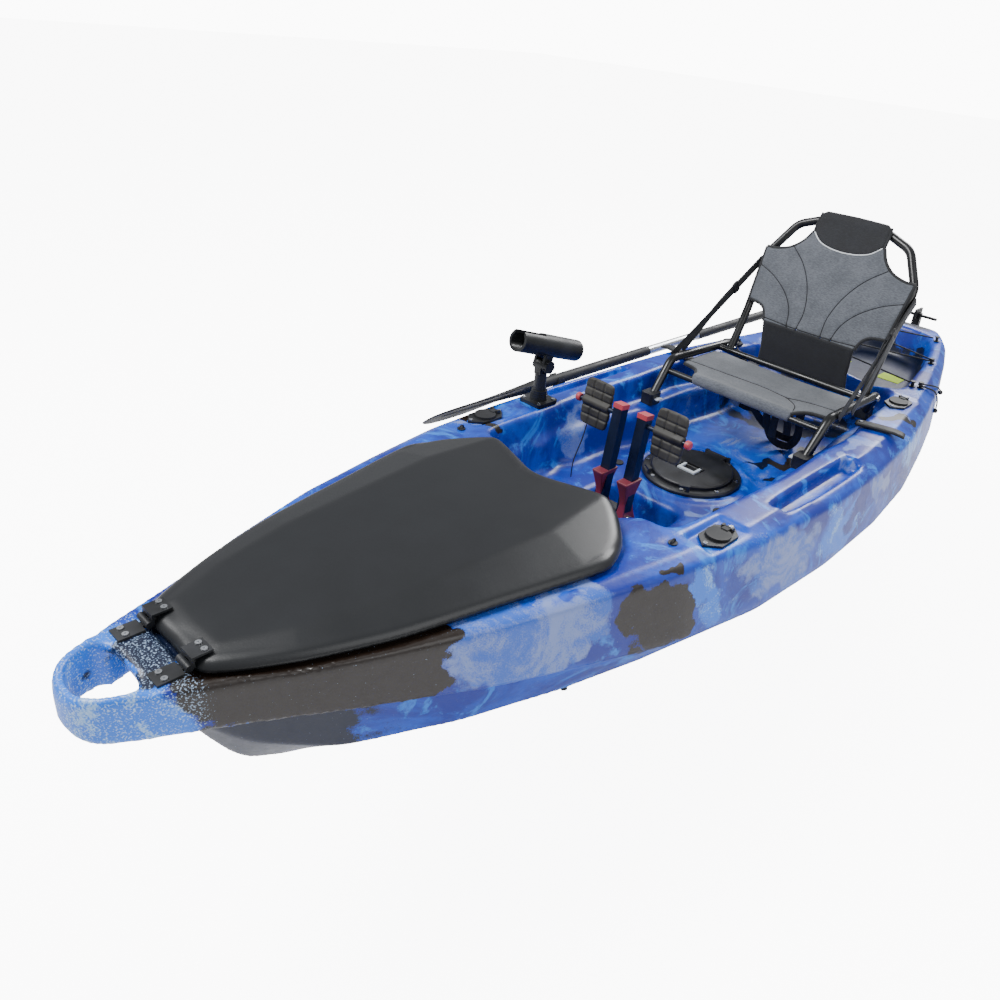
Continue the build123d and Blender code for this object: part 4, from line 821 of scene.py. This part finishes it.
# The lid outline with its rear edge pushed back, so that only the sides slope.
FACET_HALF = (
    (0, -1312), (92, -1306), (160, -1189), (214, -1044),
    (255, -865), (296, -680), (300, -300), (0, -300),
)
inward = np.clip(-polygon_field(mirrored(FACET_HALF), lid_x, lid_y) - 22.0, 0.0, None)
roof = soft_min(LID_RIM - 3.0 + 0.24 * inward, 334.5 + 0.030 * (lid_y + 1230.0), 1.5)
cube = soft_max(edge[:, :, None] + 0 * lz[None, None, :], lz[None, None, :] - roof[:, :, None], 30.0)
cube = soft_max(cube, (LID_BASE - lz)[None, None, :] + 0 * cube, 8.0)
inner = soft_max(edge[:, :, None] + 14.0 + 0 * cube, lz[None, None, :] - (roof - 12.0)[:, :, None], 24.0)
cube = soft_max(cube, -inner, 3.0)
lid_places, lid_quads = surface(cube, (lx[0], ly[0], lz[0]), (step, step, step))
lid_places = settle(cube, (lx[0], ly[0], lz[0]), (step, step, step), lid_places)
lid = piece_from("front_hatch_lid", lid_places, lid_quads, lid_charcoal, "hatch_lid")
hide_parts("hatch_lid")
relax = lid.modifiers.new("relax", "SMOOTH")
relax.factor, relax.iterations = 0.5, 2
print("lid", len(lid_places), "points")

# %% Lid trim: two rubber ridges along the hollow rear edge
rear = [p for p in lid_line if p[1] > -530 and abs(p[0]) < 158 and p[1] < -470]
rear.sort(key=lambda p: p[0])
for number, z in enumerate((327.0, 314.5)):
    ridge = bpy.data.curves.new(f"lid_trim_ridge_{number}", "CURVE")
    ridge.dimensions = "3D"
    ridge.bevel_depth = 6.0 * MM
    ridge.bevel_resolution = 4
    ridge.use_fill_caps = True
    line = ridge.splines.new("NURBS")
    line.points.add(len(rear) - 1)
    for spot, (x, y) in zip(line.points, rear):
        spot.co = (x * MM, (y + 5.0) * MM, z * MM, 1.0)
    line.order_u = 4
    line.use_endpoint_u = True
    ridge.materials.append(rubber_black)
    trim = bpy.data.objects.new(f"lid_trim_ridge_{number}", ridge)
    bpy.context.collection.objects.link(trim)
    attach(trim, "hatch_lid")
    if number == 0:
        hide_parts("hatch_lid_trim")
print("lid trim through", len(rear), "points")

# %% [markdown]
# ## Hard fittings
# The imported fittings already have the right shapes, so they stay as they are.
# Real mouldings have broken edges that catch the light, so each one gets a
# small bevel and its own finish in place of the plain one.
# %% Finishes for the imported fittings
FITTINGS = {
    "hatch_seal": rubber_black, "hinge_bases": nylon_black, "hinge_leaves": nylon_black,
    "hinge_leaf_screws": stainless, "round_hatch_ring": nylon_black, "round_hatch_lid": nylon_black,
    "round_hatch_handle": nylon_white, "round_hatch_latch_port": nylon_black,
    "round_hatch_latch_starboard": nylon_black, "rod_holders": nylon_black,
    "rod_cap_bow_port": rubber_black, "rod_cap_bow_starboard": rubber_black,
    "rod_cap_stern_port": rubber_black, "rod_cap_stern_starboard": rubber_black,
    "swivel_base": nylon_black, "swivel_post": nylon_black, "rod_cradle": nylon_black,
    "tilt_knob": nylon_black, "drive_spine": nylon_black, "drive_axles": stainless,
    "crank_bracket_port": clamp_maroon, "crank_bracket_starboard": clamp_maroon,
    "pedal_arm_port": arm_navy, "pedal_arm_starboard": arm_navy, "arm_cap_port": cap_red,
    "arm_cap_starboard": cap_red, "fin_bow": fin_rubber, "fin_stern": fin_rubber,
    "seat_base_frame": tube_black, "seat_pivot_bolts": stainless, "seat_back_frame": tube_black,
    "seat_feet": nylon_black, "wing_nuts": nylon_white, "paddle_shaft": shaft_silver,
    "paddle_grips": rubber_black, "paddle_clip": nylon_black, "rudder_bracket": stainless,
    "rudder_head": nylon_black, "rudder_blade": nylon_black, "deck_eyes": nylon_black,
    "bungee_posts": nylon_black, "deck_patches": foam_lime, "scupper_plugs": rubber_black,
    "deck_screws": stainless,
}
BEVEL_MM = {"stainless": 0.3, "seat_feet": 4.0, "pedal_arm_port": 2.5, "pedal_arm_starboard": 2.5,
            "crank_bracket_port": 3.5, "crank_bracket_starboard": 3.5, "arm_cap_port": 3.0,
            "arm_cap_starboard": 3.0, "swivel_base": 2.0, "drive_spine": 2.5, "rudder_head": 1.2}
for node, finish in FITTINGS.items():
    piece = bpy.data.objects[node]
    for place_in_list in piece.material_slots:
        place_in_list.material = finish
    width = BEVEL_MM.get(node, 0.8)
    if node not in ("deck_screws", "hinge_leaf_screws", "seat_base_frame", "seat_back_frame", "paddle_shaft"):
        bevel = piece.modifiers.new("broken_edges", "BEVEL")
        bevel.width = width * MM
        bevel.segments = 2
        bevel.limit_method = "ANGLE"
        bevel.angle_limit = math.radians(32)
        bevel.harden_normals = False
print("finished", len(FITTINGS), "fittings")

# %% [markdown]
# The crank clamps are waisted castings, wide where they grip and narrow in the
# middle, so each one is rebuilt inside its own box.
# %% Crank clamps
for word in ("port", "starboard"):
    node = f"crank_bracket_{word}"
    low, high = (np.array(tuple(v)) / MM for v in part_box(node))
    centre, half_size = (low + high) / 2, (high - low) / 2
    spans = [np.arange(c - h - 6, c + h + 8, 2.0) for c, h in zip(centre, half_size)]
    gx, gy, gz = np.meshgrid(*spans, indexing="ij")
    level = np.clip(np.abs(gz - centre[2]) / half_size[2], 0, 1)
    waist = 0.52 + 0.48 * level ** 1.4
    clamp_field = soft_max(np.abs(gx - centre[0]) - half_size[0] * waist,
                           np.abs(gy - centre[1]) - half_size[1] * waist, 3.0)
    clamp_field = soft_max(clamp_field, np.abs(gz - centre[2]) - half_size[2], 3.0)
    notch = 5.5 - np.hypot(gz - centre[2], gy - centre[1])
    clamp_field = soft_max(clamp_field, notch, 1.5)
    start = tuple(s[0] for s in spans)
    spots, faces = surface(clamp_field, start, (2.0, 2.0, 2.0))
    spots = settle(clamp_field, start, (2.0, 2.0, 2.0), spots)
    clamp = piece_from(f"crank_clamp_{word}", spots, faces, clamp_maroon, f"crank_{word}")
    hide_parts(node)
print("clamps made")

# %% [markdown]
# ## Sewn and soft parts
# The seat's back and pan are thin foam between two layers of polyester, laced
# tight to the frame, with black tape bound round the edges and rows of
# stitching. Because they are stretched flat, a field with a plump cross
# section, a rolled edge and a groove along every seam gives their true form,
# without waiting for a cloth simulation. The same panel maker serves the
# rubber pedal pads, the handles and the paddle blades.
# %% Panel maker


def line_field(points, x, y):
    """Distance from each place to an open line."""
    best = np.full(x.shape, 1e12)
    for (ax, ay), (bx, by) in zip(points, points[1:]):
        ex, ey = bx - ax, by - ay
        share = np.clip(((x - ax) * ex + (y - ay) * ey) / (ex * ex + ey * ey + 1e-9), 0.0, 1.0)
        best = np.minimum(best, (x - ax - share * ex) ** 2 + (y - ay - share * ey) ** 2)
    return np.sqrt(best)


def curve_through(points, steps=8):
    """An open Catmull-Rom line through a few points."""
    spots = [np.array(p, float) for p in points]
    spots = [2 * spots[0] - spots[1]] + spots + [2 * spots[-1] - spots[-2]]
    result = []
    for p0, p1, p2, p3 in zip(spots, spots[1:], spots[2:], spots[3:]):
        for step in range(steps):
            t = step / steps
            result.append(tuple(0.5 * (2 * p1 + (p2 - p0) * t + (2 * p0 - 5 * p1 + 4 * p2 - p3) * t * t
                                       + (3 * p1 - p0 - 3 * p2 + p3) * t ** 3)))
    result.append(tuple(spots[-2]))
    return result


def soft_panel(name, outline, thick, to_world, finish, body, cell=3.0, roll=7.0,
               bend=None, grooves=(), depth=2.2, width=3.0, extra=None, margin=4.0, edge_share=0.45):
    """A plump closed panel: an outline in its own plane, grooved, bent and put in place."""
    line = np.array(outline, float)
    low, high = line.min(axis=0) - margin - 2 * cell, line.max(axis=0) + margin + 3 * cell
    a, b = np.arange(low[0], high[0], cell), np.arange(low[1], high[1], cell)
    plane_a, plane_b = np.meshgrid(a, b, indexing="ij")
    edge = polygon_field(outline, plane_a, plane_b)
    half = thick / 2 * (edge_share + (1 - edge_share) * np.sqrt(np.clip(-edge / roll, 0, 1)))
    for groove in grooves:
        gap = line_field(groove, plane_a, plane_b)
        half = half - depth / 2 * np.exp(-(gap / width) ** 2)
    middle = bend(plane_a, plane_b) if bend else 0 * plane_a
    top = thick / 2 + margin + float(np.max(middle))
    bottom = -thick / 2 - margin + float(np.min(middle))
    fine = min(cell, thick / 4)
    w = np.arange(bottom - 2 * fine, top + 3 * fine, fine)
    cube = np.abs(w[None, None, :] - middle[:, :, None]) - half[:, :, None]
    cube = soft_max(cube, edge[:, :, None] + 0 * cube, 3.0)
    if extra:
        cube = extra(cube, plane_a[:, :, None], plane_b[:, :, None], w[None, None, :])
    origin, size = (a[0], b[0], w[0]), (cell, cell, fine)
    spots, faces = surface(cube, origin, size)
    spots = settle(cube, origin, size, spots)
    world_spots = to_world(spots)
    return piece_from(name, world_spots, faces, finish, body)


def thread(name, spots, thick, finish, body, order=3):
    """A sewn line, piping or edge tape: a smooth round line through places in millimetres."""
    curve = bpy.data.curves.new(name, "CURVE")
    curve.dimensions = "3D"
    curve.bevel_depth = thick / 2 * MM
    curve.bevel_resolution = 3
    curve.resolution_u = 3
    curve.use_fill_caps = True
    line = curve.splines.new("NURBS")
    line.points.add(len(spots) - 1)
    for spot, (x, y, z) in zip(line.points, spots):
        spot.co = (x * MM, y * MM, z * MM, 1.0)
    line.order_u = order
    line.use_endpoint_u = True
    curve.materials.append(finish)
    piece = bpy.data.objects.new(name, curve)
    bpy.context.collection.objects.link(piece)
    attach(piece, body)
    return piece


SIDES = 24
ROUND = [k / SIDES * 2 * math.pi for k in range(SIDES)]


def stacked_rings(count):
    """Faces that join rings of points into a closed turned part."""
    faces = [(r * SIDES + k, r * SIDES + (k + 1) % SIDES, (r + 1) * SIDES + (k + 1) % SIDES, (r + 1) * SIDES + k)
             for r in range(count - 1) for k in range(SIDES)]
    last = (count - 1) * SIDES
    return faces + [tuple(reversed(range(SIDES))), tuple(last + k for k in range(SIDES))]


print("panel maker ready")

# %% [markdown]
# Heather fabric is woven from yarns of several greys, so it is streaky along
# the weave. The yarns are half a millimetre apart; they are drawn at 2 mm so
# that the weave shows. Nylon webbing is denser and nearly black, with a rib.
# %% Cloth finishes


def woven(name, dark, light, yarn_mm, roughness, sheen, turned=(0.0, 0.0, 0.0)):
    """A cloth with crossed yarns, streaks of two colours and a soft sheen."""
    material, tree, shader = start_finish(name, light, roughness, ior=1.46)
    place = add(tree, "ShaderNodeTexCoord").outputs["Object"]
    turned_place = add(tree, "ShaderNodeMapping", {"Vector": place, "Rotation": turned}).outputs["Vector"]
    streaks = add(tree, "ShaderNodeMapping", {
        "Vector": turned_place, "Scale": (0.16, 1.0, 1.0)}).outputs["Vector"]
    streak = add(tree, "ShaderNodeTexNoise", {"Vector": streaks, "Scale": 1.0 / (1.3 * MM), "Detail": 2.0})
    broad = add(tree, "ShaderNodeTexNoise", {"Vector": place, "Scale": 16.0, "Detail": 4.0})
    value = sum_of(tree, streak.outputs["Fac"], broad.outputs["Fac"], 0.5)
    shade = blend_colour(tree, step_up(tree, value, 0.55, 0.95), colour(dark), colour(light))
    tree.links.new(shade, shader.inputs["Base Color"])
    warp_yarn = add(tree, "ShaderNodeTexWave", {
        "Vector": turned_place, "Scale": 1.0 / (yarn_mm * MM) / 3.14, "Distortion": 0.4}, bands_direction="X")
    weft_yarn = add(tree, "ShaderNodeTexWave", {
        "Vector": turned_place, "Scale": 1.0 / (yarn_mm * MM) / 3.14, "Distortion": 0.4}, bands_direction="Z")
    both = add(tree, "ShaderNodeMath", {0: warp_yarn.outputs["Fac"], 1: weft_yarn.outputs["Fac"]},
               operation="MULTIPLY")
    bump = add(tree, "ShaderNodeBump", {
        "Height": both.outputs["Value"], "Strength": 0.5, "Distance": 0.5 * MM})
    tree.links.new(bump.outputs["Normal"], shader.inputs["Normal"])
    shader.inputs["Sheen Weight"].default_value = sheen
    shader.inputs["Sheen Roughness"].default_value = 0.5
    return material


heather_grey = woven("heather_polyester_grey", "#4d5157", "#666a71", 2.0, 0.85, 0.25)
webbing_black = woven("nylon_webbing_black", "#0e0f11", "#212328", 1.8, 0.7, 0.15)
panel_black = woven("padded_nylon_black", "#101115", "#1c1e24", 1.6, 0.75, 0.2)
piping_white = grained("reflective_piping_white", "#dfe3e6", 0.5, 1.2, 0.05, tint="#c2c8cd", share=0.4)
thread_dark = grained("bonded_thread_charcoal", "#101114", 0.8, 1.0, 0.05)
print("cloths ready")

# %% Seat back fabric
LEAN = math.radians(25)


def back_place(spots):
    """The back's own plane (across, up the back, in front of the tubes) put in place."""
    p = np.asarray(spots, float)
    front = p[:, 2] + 18.8
    y = 590 + p[:, 1] * math.sin(LEAN) - front * math.cos(LEAN)
    z = 335 + p[:, 1] * math.cos(LEAN) + front * math.sin(LEAN)
    return np.stack([p[:, 0], y, z], axis=1)


LOWER_ARC = curve_through([(150, 106), (160, 134), (182, 152), (224, 158)])
SIDE_EDGE = [(228, 200), (233, 262), (237, 322)]
UPPER_ARC = curve_through([(237, 326), (206, 327), (165, 340), (132, 368), (112, 404)])
NECKLINE = curve_through([(108, 402), (80, 378), (42, 366), (0, 362)])
half_line = LOWER_ARC + SIDE_EDGE + UPPER_ARC + NECKLINE[1:-1]
back_line = half_line + [(0, 362)] + [(-x, u) for x, u in reversed(half_line)]
FAN = (
    [(72, 108), (86, 160), (120, 205), (175, 244), (233, 268)],
    [(40, 106), (38, 170), (60, 240), (100, 300), (150, 344)],
)
seams = [curve_through([(side * x, u) for x, u in line]) for side in (1, -1) for line in FAN]
hem = curve_through([(150, 116), (75, 112), (0, 111), (-75, 112), (-150, 116)])
back_fabric = soft_panel(
    "seat_back_cloth", back_line, 12.0, back_place, heather_grey, "seat_back",
    cell=3.2, grooves=seams + [hem], depth=5.0, width=3.2,
    bend=lambda a, b: -3.0 * np.cos(a / 150.0))
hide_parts("seat_back_fabric")


def on_back(line, lift):
    """Places on the front face of the back for a line drawn in its plane."""
    a = np.array([p[0] for p in line])
    b = np.array([p[1] for p in line])
    return back_place(np.stack([a, b, -3.0 * np.cos(a / 150.0) + lift], axis=1))


for number, line in enumerate(seams + [hem]):
    thread(f"seat_back_stitch_{number}", on_back(line, 4.4), 2.4, thread_dark, "seat_back")
for side, word in ((1, "port"), (-1, "starboard")):
    for part, line in (("lower", LOWER_ARC), ("upper", UPPER_ARC),
                       ("side", [(226, 160), (231, 230), (237, 324)])):
        spots = [(side * x, u) for x, u in line]
        thread(f"seat_back_binding_{part}_{word}", on_back(spots, 0.0), 11.0,
               webbing_black, "seat_back")
neck = [(x, u) for x, u in NECKLINE] + [(-x, u) for x, u in reversed(NECKLINE[:-1])]
thread("seat_back_piping", on_back(neck, 5.2), 4.0, piping_white, "seat_back")
print("seat back sewn with", len(seams), "seams")

# %% Headrest and lumbar panel
HEAD_SIDE = [(112, 430), (108, 462), (96, 472), (0, 474)]
head_half = [(0, 360)] + [(x, u) for x, u in reversed(NECKLINE[:-1])] + HEAD_SIDE
head_line = head_half + [(-x, u) for x, u in reversed(head_half[1:-1])]


def round_tube(cube, a, b, w):
    """Lets the headrest wrap round the top tube of the frame."""
    drop = np.clip(np.abs(a) - 74, 0, None) * 0.30
    sleeve = np.sqrt((b - 453.0 + drop) ** 2 + (w + 18.8) ** 2) - 17.5
    sleeve = soft_max(sleeve, np.abs(a) - 101.0 + 0 * sleeve, 4.0)
    return soft_min(cube, sleeve, 12.0)


headrest = soft_panel(
    "seat_headrest", head_line, 12.0, back_place, panel_black, "seat_back",
    cell=3.0, margin=19.0, extra=round_tube, bend=lambda a, b: -3.0 * np.cos(a / 150.0))
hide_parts("seat_padding")
for side, word in ((1, "port"), (-1, "starboard")):
    thread(f"headrest_binding_{word}", on_back([(side * 110, 402), (side * 114, 430), (side * 108, 464)], 1.0),
           9.0, webbing_black, "seat_back")


def lumbar_place(spots):
    """The lower panel's own plane (across, up, towards the paddler)."""
    p = np.asarray(spots, float)
    share = (p[:, 1] + 46) / 152.0
    y = 634 - 16.5 * share - p[:, 2]
    return np.stack([p[:, 0], y, 335 + p[:, 1]], axis=1)


lumbar = soft_panel(
    "seat_lumbar_panel", [(-152, -44), (-146, 20), (-151, 106), (151, 106), (146, 20), (152, -44)], 11.0,
    lumbar_place, panel_black, "seat_back", cell=3.4,
    bend=lambda a, b: -3.0 * np.cos(a / 110.0))
print("headrest and lumbar made")

# %% Seat pan
def pan_place(spots):
    p = np.asarray(spots, float)
    return np.stack([p[:, 0], p[:, 1], 327.3 + p[:, 2]], axis=1)


PAN_CORNER = curve_through([(156, 285), (168, 314), (190, 338), (236, 350)])
pan_half = PAN_CORNER + [(240, 430), (238, 518), (206, 533)]
pan_line = pan_half + [(-x, y) for x, y in reversed(pan_half)]


def pan_sag(a, b):
    """The pan dips a little between the rails."""
    return -5.0 * np.clip(1 - (a / 230.0) ** 2, 0, 1) * np.clip((b - 290) / 70.0, 0, 1)


def over_bar(cube, a, b, w):
    """The front edge is rolled over the frame's front bar."""
    roll = np.sqrt((b - 291.5) ** 2 + (w + 12.5) ** 2) - 13.5
    roll = soft_max(roll, np.abs(a) - 157.0 + 0 * roll, 5.0)
    return soft_min(cube, roll, 14.0)


pan_seams = [
    curve_through([(-236, 372), (-120, 384), (0, 392), (96, 378)]),
    curve_through([(96, 378), (138, 344), (158, 296)]),
    curve_through([(96, 378), (160, 398), (236, 404)]),
]
pan = soft_panel(
    "seat_pan_cloth", pan_line, 12.0, pan_place, heather_grey, "hull", cell=3.2,
    grooves=pan_seams, depth=5.0, width=3.2, bend=pan_sag, extra=over_bar, margin=16.0)
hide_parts("seat_pan_fabric")
for number, line in enumerate(pan_seams):
    spots = pan_place([(x, y, float(pan_sag(np.array(x), np.array(y))) + 4.4) for x, y in line])
    thread(f"seat_pan_stitch_{number}", spots, 2.4, thread_dark, "hull")
for side, word in ((1, "port"), (-1, "starboard")):
    spots = pan_place([(side * x, y, -1.0) for x, y in PAN_CORNER + [(240, 430), (238, 518)]])
    thread(f"seat_pan_binding_{word}", spots, 11.0, webbing_black, "hull")
print("seat pan sewn")

# %% [markdown]
# ## Straps
# Webbing is a flat ribbon, so each strap is a strip of quads along a line,
# given a thickness and round edges by modifiers. The side straps join the
# folding back to the fixed rails; they ride on neither body.
# %% Webbing


def ribbon(name, spots, wide, finish, body, thick=2.2, flat=(1.0, 0.0, 0.0)):
    """A flat strap along a smooth line; flat is the direction its face looks."""
    line = curve_through(spots, 6)
    face = Vector(flat)
    points, faces = [], []
    for i, spot in enumerate(line):
        ahead = Vector(line[min(i + 1, len(line) - 1)]) - Vector(line[max(i - 1, 0)])
        side = ahead.cross(face).normalized() * wide / 2
        for k in range(5):
            points.append(tuple(Vector(spot) + side * (k / 2 - 1)))
    for i in range(len(line) - 1):
        for k in range(4):
            n = i * 5 + k
            faces.append((n, n + 1, n + 6, n + 5))
    piece = piece_from(name, points, faces, finish, body)
    skin = piece.modifiers.new("thickness", "SOLIDIFY")
    skin.thickness = thick * MM
    skin.offset = 0.0
    rim = piece.modifiers.new("soft_rim", "BEVEL")
    rim.width = 0.6 * MM
    rim.segments = 2
    return piece


for side, word in ((1, "port"), (-1, "starboard")):
    low, high = (side * 272, 330, 344), (side * 247.5, 718, 597)

    def on_strap(share, drop=0.0):
        """A place on the straight line from the rail to the back, sagging by drop."""
        x, y, z = (low[k] + (high[k] - low[k]) * share for k in range(3))
        return (x, y, z - drop)

    strap = ribbon(f"side_strap_{word}",
                   [on_strap(0.0), on_strap(0.33, drop=1.5), on_strap(0.66, drop=1.5), on_strap(1.0)],
                   25, webbing_black, None, flat=(side, 0, 0))
    doubled = ribbon(f"side_strap_doubled_{word}",
                     [(v[0] + side * 2.6, v[1], v[2])
                      for v in (on_strap(0.70), on_strap(0.86), on_strap(0.995))],
                     25, webbing_black, None, flat=(side, 0, 0))
    tail = ribbon(f"side_strap_tail_{word}",
                  [(v[0] + side * s, v[1], v[2] - d) for v, s, d in (
                      (on_strap(0.68), 4, 0), (on_strap(0.52), 8, 9),
                      (on_strap(0.34), 10, 26), (on_strap(0.16), 10, 38))],
                  25, webbing_black, None, flat=(side, 0, 0))
    middle = on_strap(0.69)
    aim = Vector(high) - Vector(low)
    aim.normalize()
    across_strap = aim.cross(Vector((side, 0, 0))).normalized()

    def clip_place(spots):
        p = np.asarray(spots, float)
        return (np.array(middle) + p[:, :1] * np.array(across_strap)
                + p[:, 1:2] * np.array(aim) + p[:, 2:3] * np.array((side, 0, 0)))

    clip_line = rounded([(-17, -13), (17, -13), (17, 13), (-17, 13)], 5, 0.35)
    clip = soft_panel(f"side_strap_buckle_{word}", clip_line, 8.5, clip_place, nylon_black, None,
                      cell=1.6, roll=3.0, grooves=[[(-11, -4), (11, -4)], [(-11, 5), (11, 5)]],
                      depth=5.0, width=1.8)
    if side > 0:
        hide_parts("seat_straps")
    for piece in (strap, doubled, tail, clip):
        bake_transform(piece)
band_number = 0
for y in (390, 480):
    band = ribbon(f"under_seat_band_{band_number}",
                  [(-238, y, 319.5), (-120, y, 316.5), (0, y, 315.5), (120, y, 316.5), (238, y, 319.5)],
                  38, webbing_black, "hull", flat=(0, 0, 1))
    if band_number == 0:
        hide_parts("seat_webbing")
    band_number += 1
LOOPS = (
    [(-40, 392, 314), (-34, 420, 262), (-12, 462, 200), (18, 500, 158), (60, 520, 147),
     (96, 500, 170), (108, 470, 240), (112, 455, 314)],
    [(30, 392, 314), (34, 404, 250), (44, 420, 190), (62, 446, 156), (92, 470, 150),
     (120, 452, 196), (128, 420, 262), (132, 395, 314)],
    [(-150, 400, 314), (-136, 430, 268), (-104, 462, 228), (-66, 486, 210), (-30, 490, 236), (-16, 486, 314)],
    [(70, 388, 314), (72, 384, 270), (70, 388, 226), (66, 398, 190)],
    [(96, 392, 314), (100, 396, 276), (104, 404, 238), (104, 412, 206)],
)
for number, line in enumerate(LOOPS):
    ribbon(f"under_seat_strap_{number}", line, 22, webbing_black, "hull", flat=(0.2, -1.0, 0.25))


def hook_place(spots):
    p = np.asarray(spots, float)
    return np.array((-104.0, 456.0, 226.0)) + np.stack([p[:, 0], -p[:, 2], p[:, 1]], axis=1)


soft_panel("under_seat_hook", rounded([(-16, -10), (14, -14), (18, 4), (2, 14), (-14, 8)], 5, 0.4), 7.0,
           hook_place, nylon_grey, "hull", cell=1.8, roll=3.0)
print("straps made")

# %% [markdown]
# ## Pedal pads
# Each pad is a moulded rubber plate behind its spindle, with grooves that
# divide it into blocks and a round boss along the spindle.
# %% Pads
pad_rubber = grained("moulded_pedal_rubber", "#1b1a18", 0.62, 2.4, 0.18, tint="#4a4843", share=0.7)
LEAN_CRANK = math.radians(7.5)
PAD_LINE = rounded([(-40, -46), (-30, -58), (30, -58), (41, -44), (43, 0),
                    (41, 44), (30, 58), (-30, 58), (-41, 46), (-43, 0)], 4, 0.45)
PAD_GROOVES = [
    [(-15, -56), (-15, -13)], [(15, -56), (15, -13)], [(-15, 13), (-15, 56)], [(15, 13), (15, 56)],
    [(-42, -34), (42, -34)], [(-42, 34), (42, 34)], [(-42, -13), (42, -13)], [(-42, 13), (42, 13)],
]


def boss(cube, a, b, w):
    """A round housing for the spindle, along the pad."""
    tube = np.sqrt(b ** 2 + (w + 2.0) ** 2) - 9.5
    tube = soft_max(tube, np.abs(a) - 41.0 + 0 * tube, 3.0)
    return soft_min(cube, tube, 3.0)


for side, word, body in ((1, "port", "pedal_port"), (-1, "starboard", "pedal_starboard")):

    def pad_place(spots):
        p = np.asarray(spots, float)
        up_arm = 236 + p[:, 1]
        out = p[:, 2] + 2.5
        y = -240 + out * math.cos(LEAN_CRANK) + up_arm * math.sin(LEAN_CRANK)
        z = 150 - out * math.sin(LEAN_CRANK) + up_arm * math.cos(LEAN_CRANK)
        return np.stack([side * (109 + p[:, 0]), y, z], axis=1)

    pad = soft_panel(f"pedal_pad_rubber_{word}", PAD_LINE, 12.0, pad_place, pad_rubber, body,
                     cell=2.2, roll=4.0, grooves=PAD_GROOVES, depth=7.0, width=1.7, extra=boss, margin=9.0,
                     edge_share=0.7)
    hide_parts(f"pedal_pad_{word}")
for side, word in ((1, "port"), (-1, "starboard")):
    rim = [(side * along, -240 + 236 * math.sin(LEAN_CRANK) + radius * math.cos(angle),
            150 + 236 * math.cos(LEAN_CRANK) + radius * math.sin(angle))
           for along, radius in ((158, 9.0), (160, 10.5), (168, 10.5), (171, 8.0))
           for angle in ROUND]
    cap_faces = stacked_rings(4)
    piece_from(f"spindle_cap_{word}", rim, cap_faces, cap_red, f"crank_{word}", smooth=False)
print("pads made")

# %% [markdown]
# ## Paddle blades
# A blade is a thin spoon: a lens across, a raised spine that fades towards the
# tip, and a socket over the shaft.
# %% Blades
BLADE_LINE = curve_through([(-17, 0), (-24, -40), (-62, -112), (-84, -232),
                            (-72, -338), (-36, -386), (0, -392)], 6)
blade_line = BLADE_LINE + [(-x, y) for x, y in reversed(BLADE_LINE[:-1])]


def spine(cube, a, b, w):
    """The socket and the spine that runs down the blade."""
    fade = np.clip((b + 330) / 330.0, 0.0, 1.0)
    tube = np.sqrt(a ** 2 + w ** 2) - (4.0 + 14.0 * fade ** 1.5)
    tube = soft_max(tube, np.abs(b + 170.0) - 170.0 + 0 * tube, 3.0)
    return soft_min(cube, tube, 10.0)


for number, (sign, end) in enumerate(((1, -51.0), (-1, 1265.0))):

    def blade_place(spots):
        p = np.asarray(spots, float)
        turn_blade = math.radians(38)
        a, b, w = sign * p[:, 0], sign * p[:, 1], p[:, 2]
        x = -458.5 + a * math.cos(turn_blade) - w * math.sin(turn_blade)
        z = 270 + a * math.sin(turn_blade) + w * math.cos(turn_blade)
        return np.stack([x, end + b, z], axis=1)

    blade = soft_panel(f"paddle_blade_{number}", blade_line, 6.0, blade_place, blade_black,
                       "paddle",
                       cell=3.4, roll=20.0, extra=spine, margin=16.0, edge_share=0.4,
                       bend=lambda a, b: -5.0 * (a / 85.0) ** 2 * np.clip(-b / 200.0, 0, 1))
    if number == 0:
        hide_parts("paddle_blades")
print("blades made")

# %% [markdown]
# ## Carry handles
# Each is a thick rubber strap screwed down at its inner end and folded over
# the gunwale at the other.
# %% Handles
for side, word in ((1, "port"), (-1, "starboard")):

    def handle_place(spots):
        p = np.asarray(spots, float)
        turn_handle = math.radians(16)
        a, b = p[:, 0] + 40, p[:, 1]
        x = 300 + a * math.cos(turn_handle) - b * math.sin(turn_handle)
        y = 450 + a * math.sin(turn_handle) + b * math.cos(turn_handle)
        drop = np.clip(a - 70, 0, None) ** 2 * 0.004
        return np.stack([side * x, y, 306.5 + p[:, 2] - drop], axis=1)

    handle_line = rounded([(-66, -12), (-56, -18), (62, -17), (66, -14), (66, 14),
                           (62, 17), (-56, 18), (-66, 12)], 4, 0.3)
    handle = soft_panel(f"carry_handle_{word}", handle_line, 9.0, handle_place, rubber_black,
                        "hull",
                        cell=2.6, roll=5.0,
                        bend=lambda a, b: 2.5 * np.cos(np.clip(a / 42.0, -1.57, 1.57)))
    if side > 0:
        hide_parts("carry_handles")
    screw_place = handle_place([(-52, 0, 5.6)])[0]
    ring_points = [(screw_place[0] + radius * math.cos(angle),
                    screw_place[1] + radius * math.sin(angle), screw_place[2] + level)
                   for level, radius in ((0.0, 5.0), (1.6, 5.0), (2.4, 3.8), (2.4, 1.9), (1.0, 1.9))
                   for angle in ROUND]
    ring_faces = stacked_rings(5)
    piece_from(f"handle_screw_{word}", ring_points, ring_faces, stainless, "hull", smooth=False)
print("handles made")
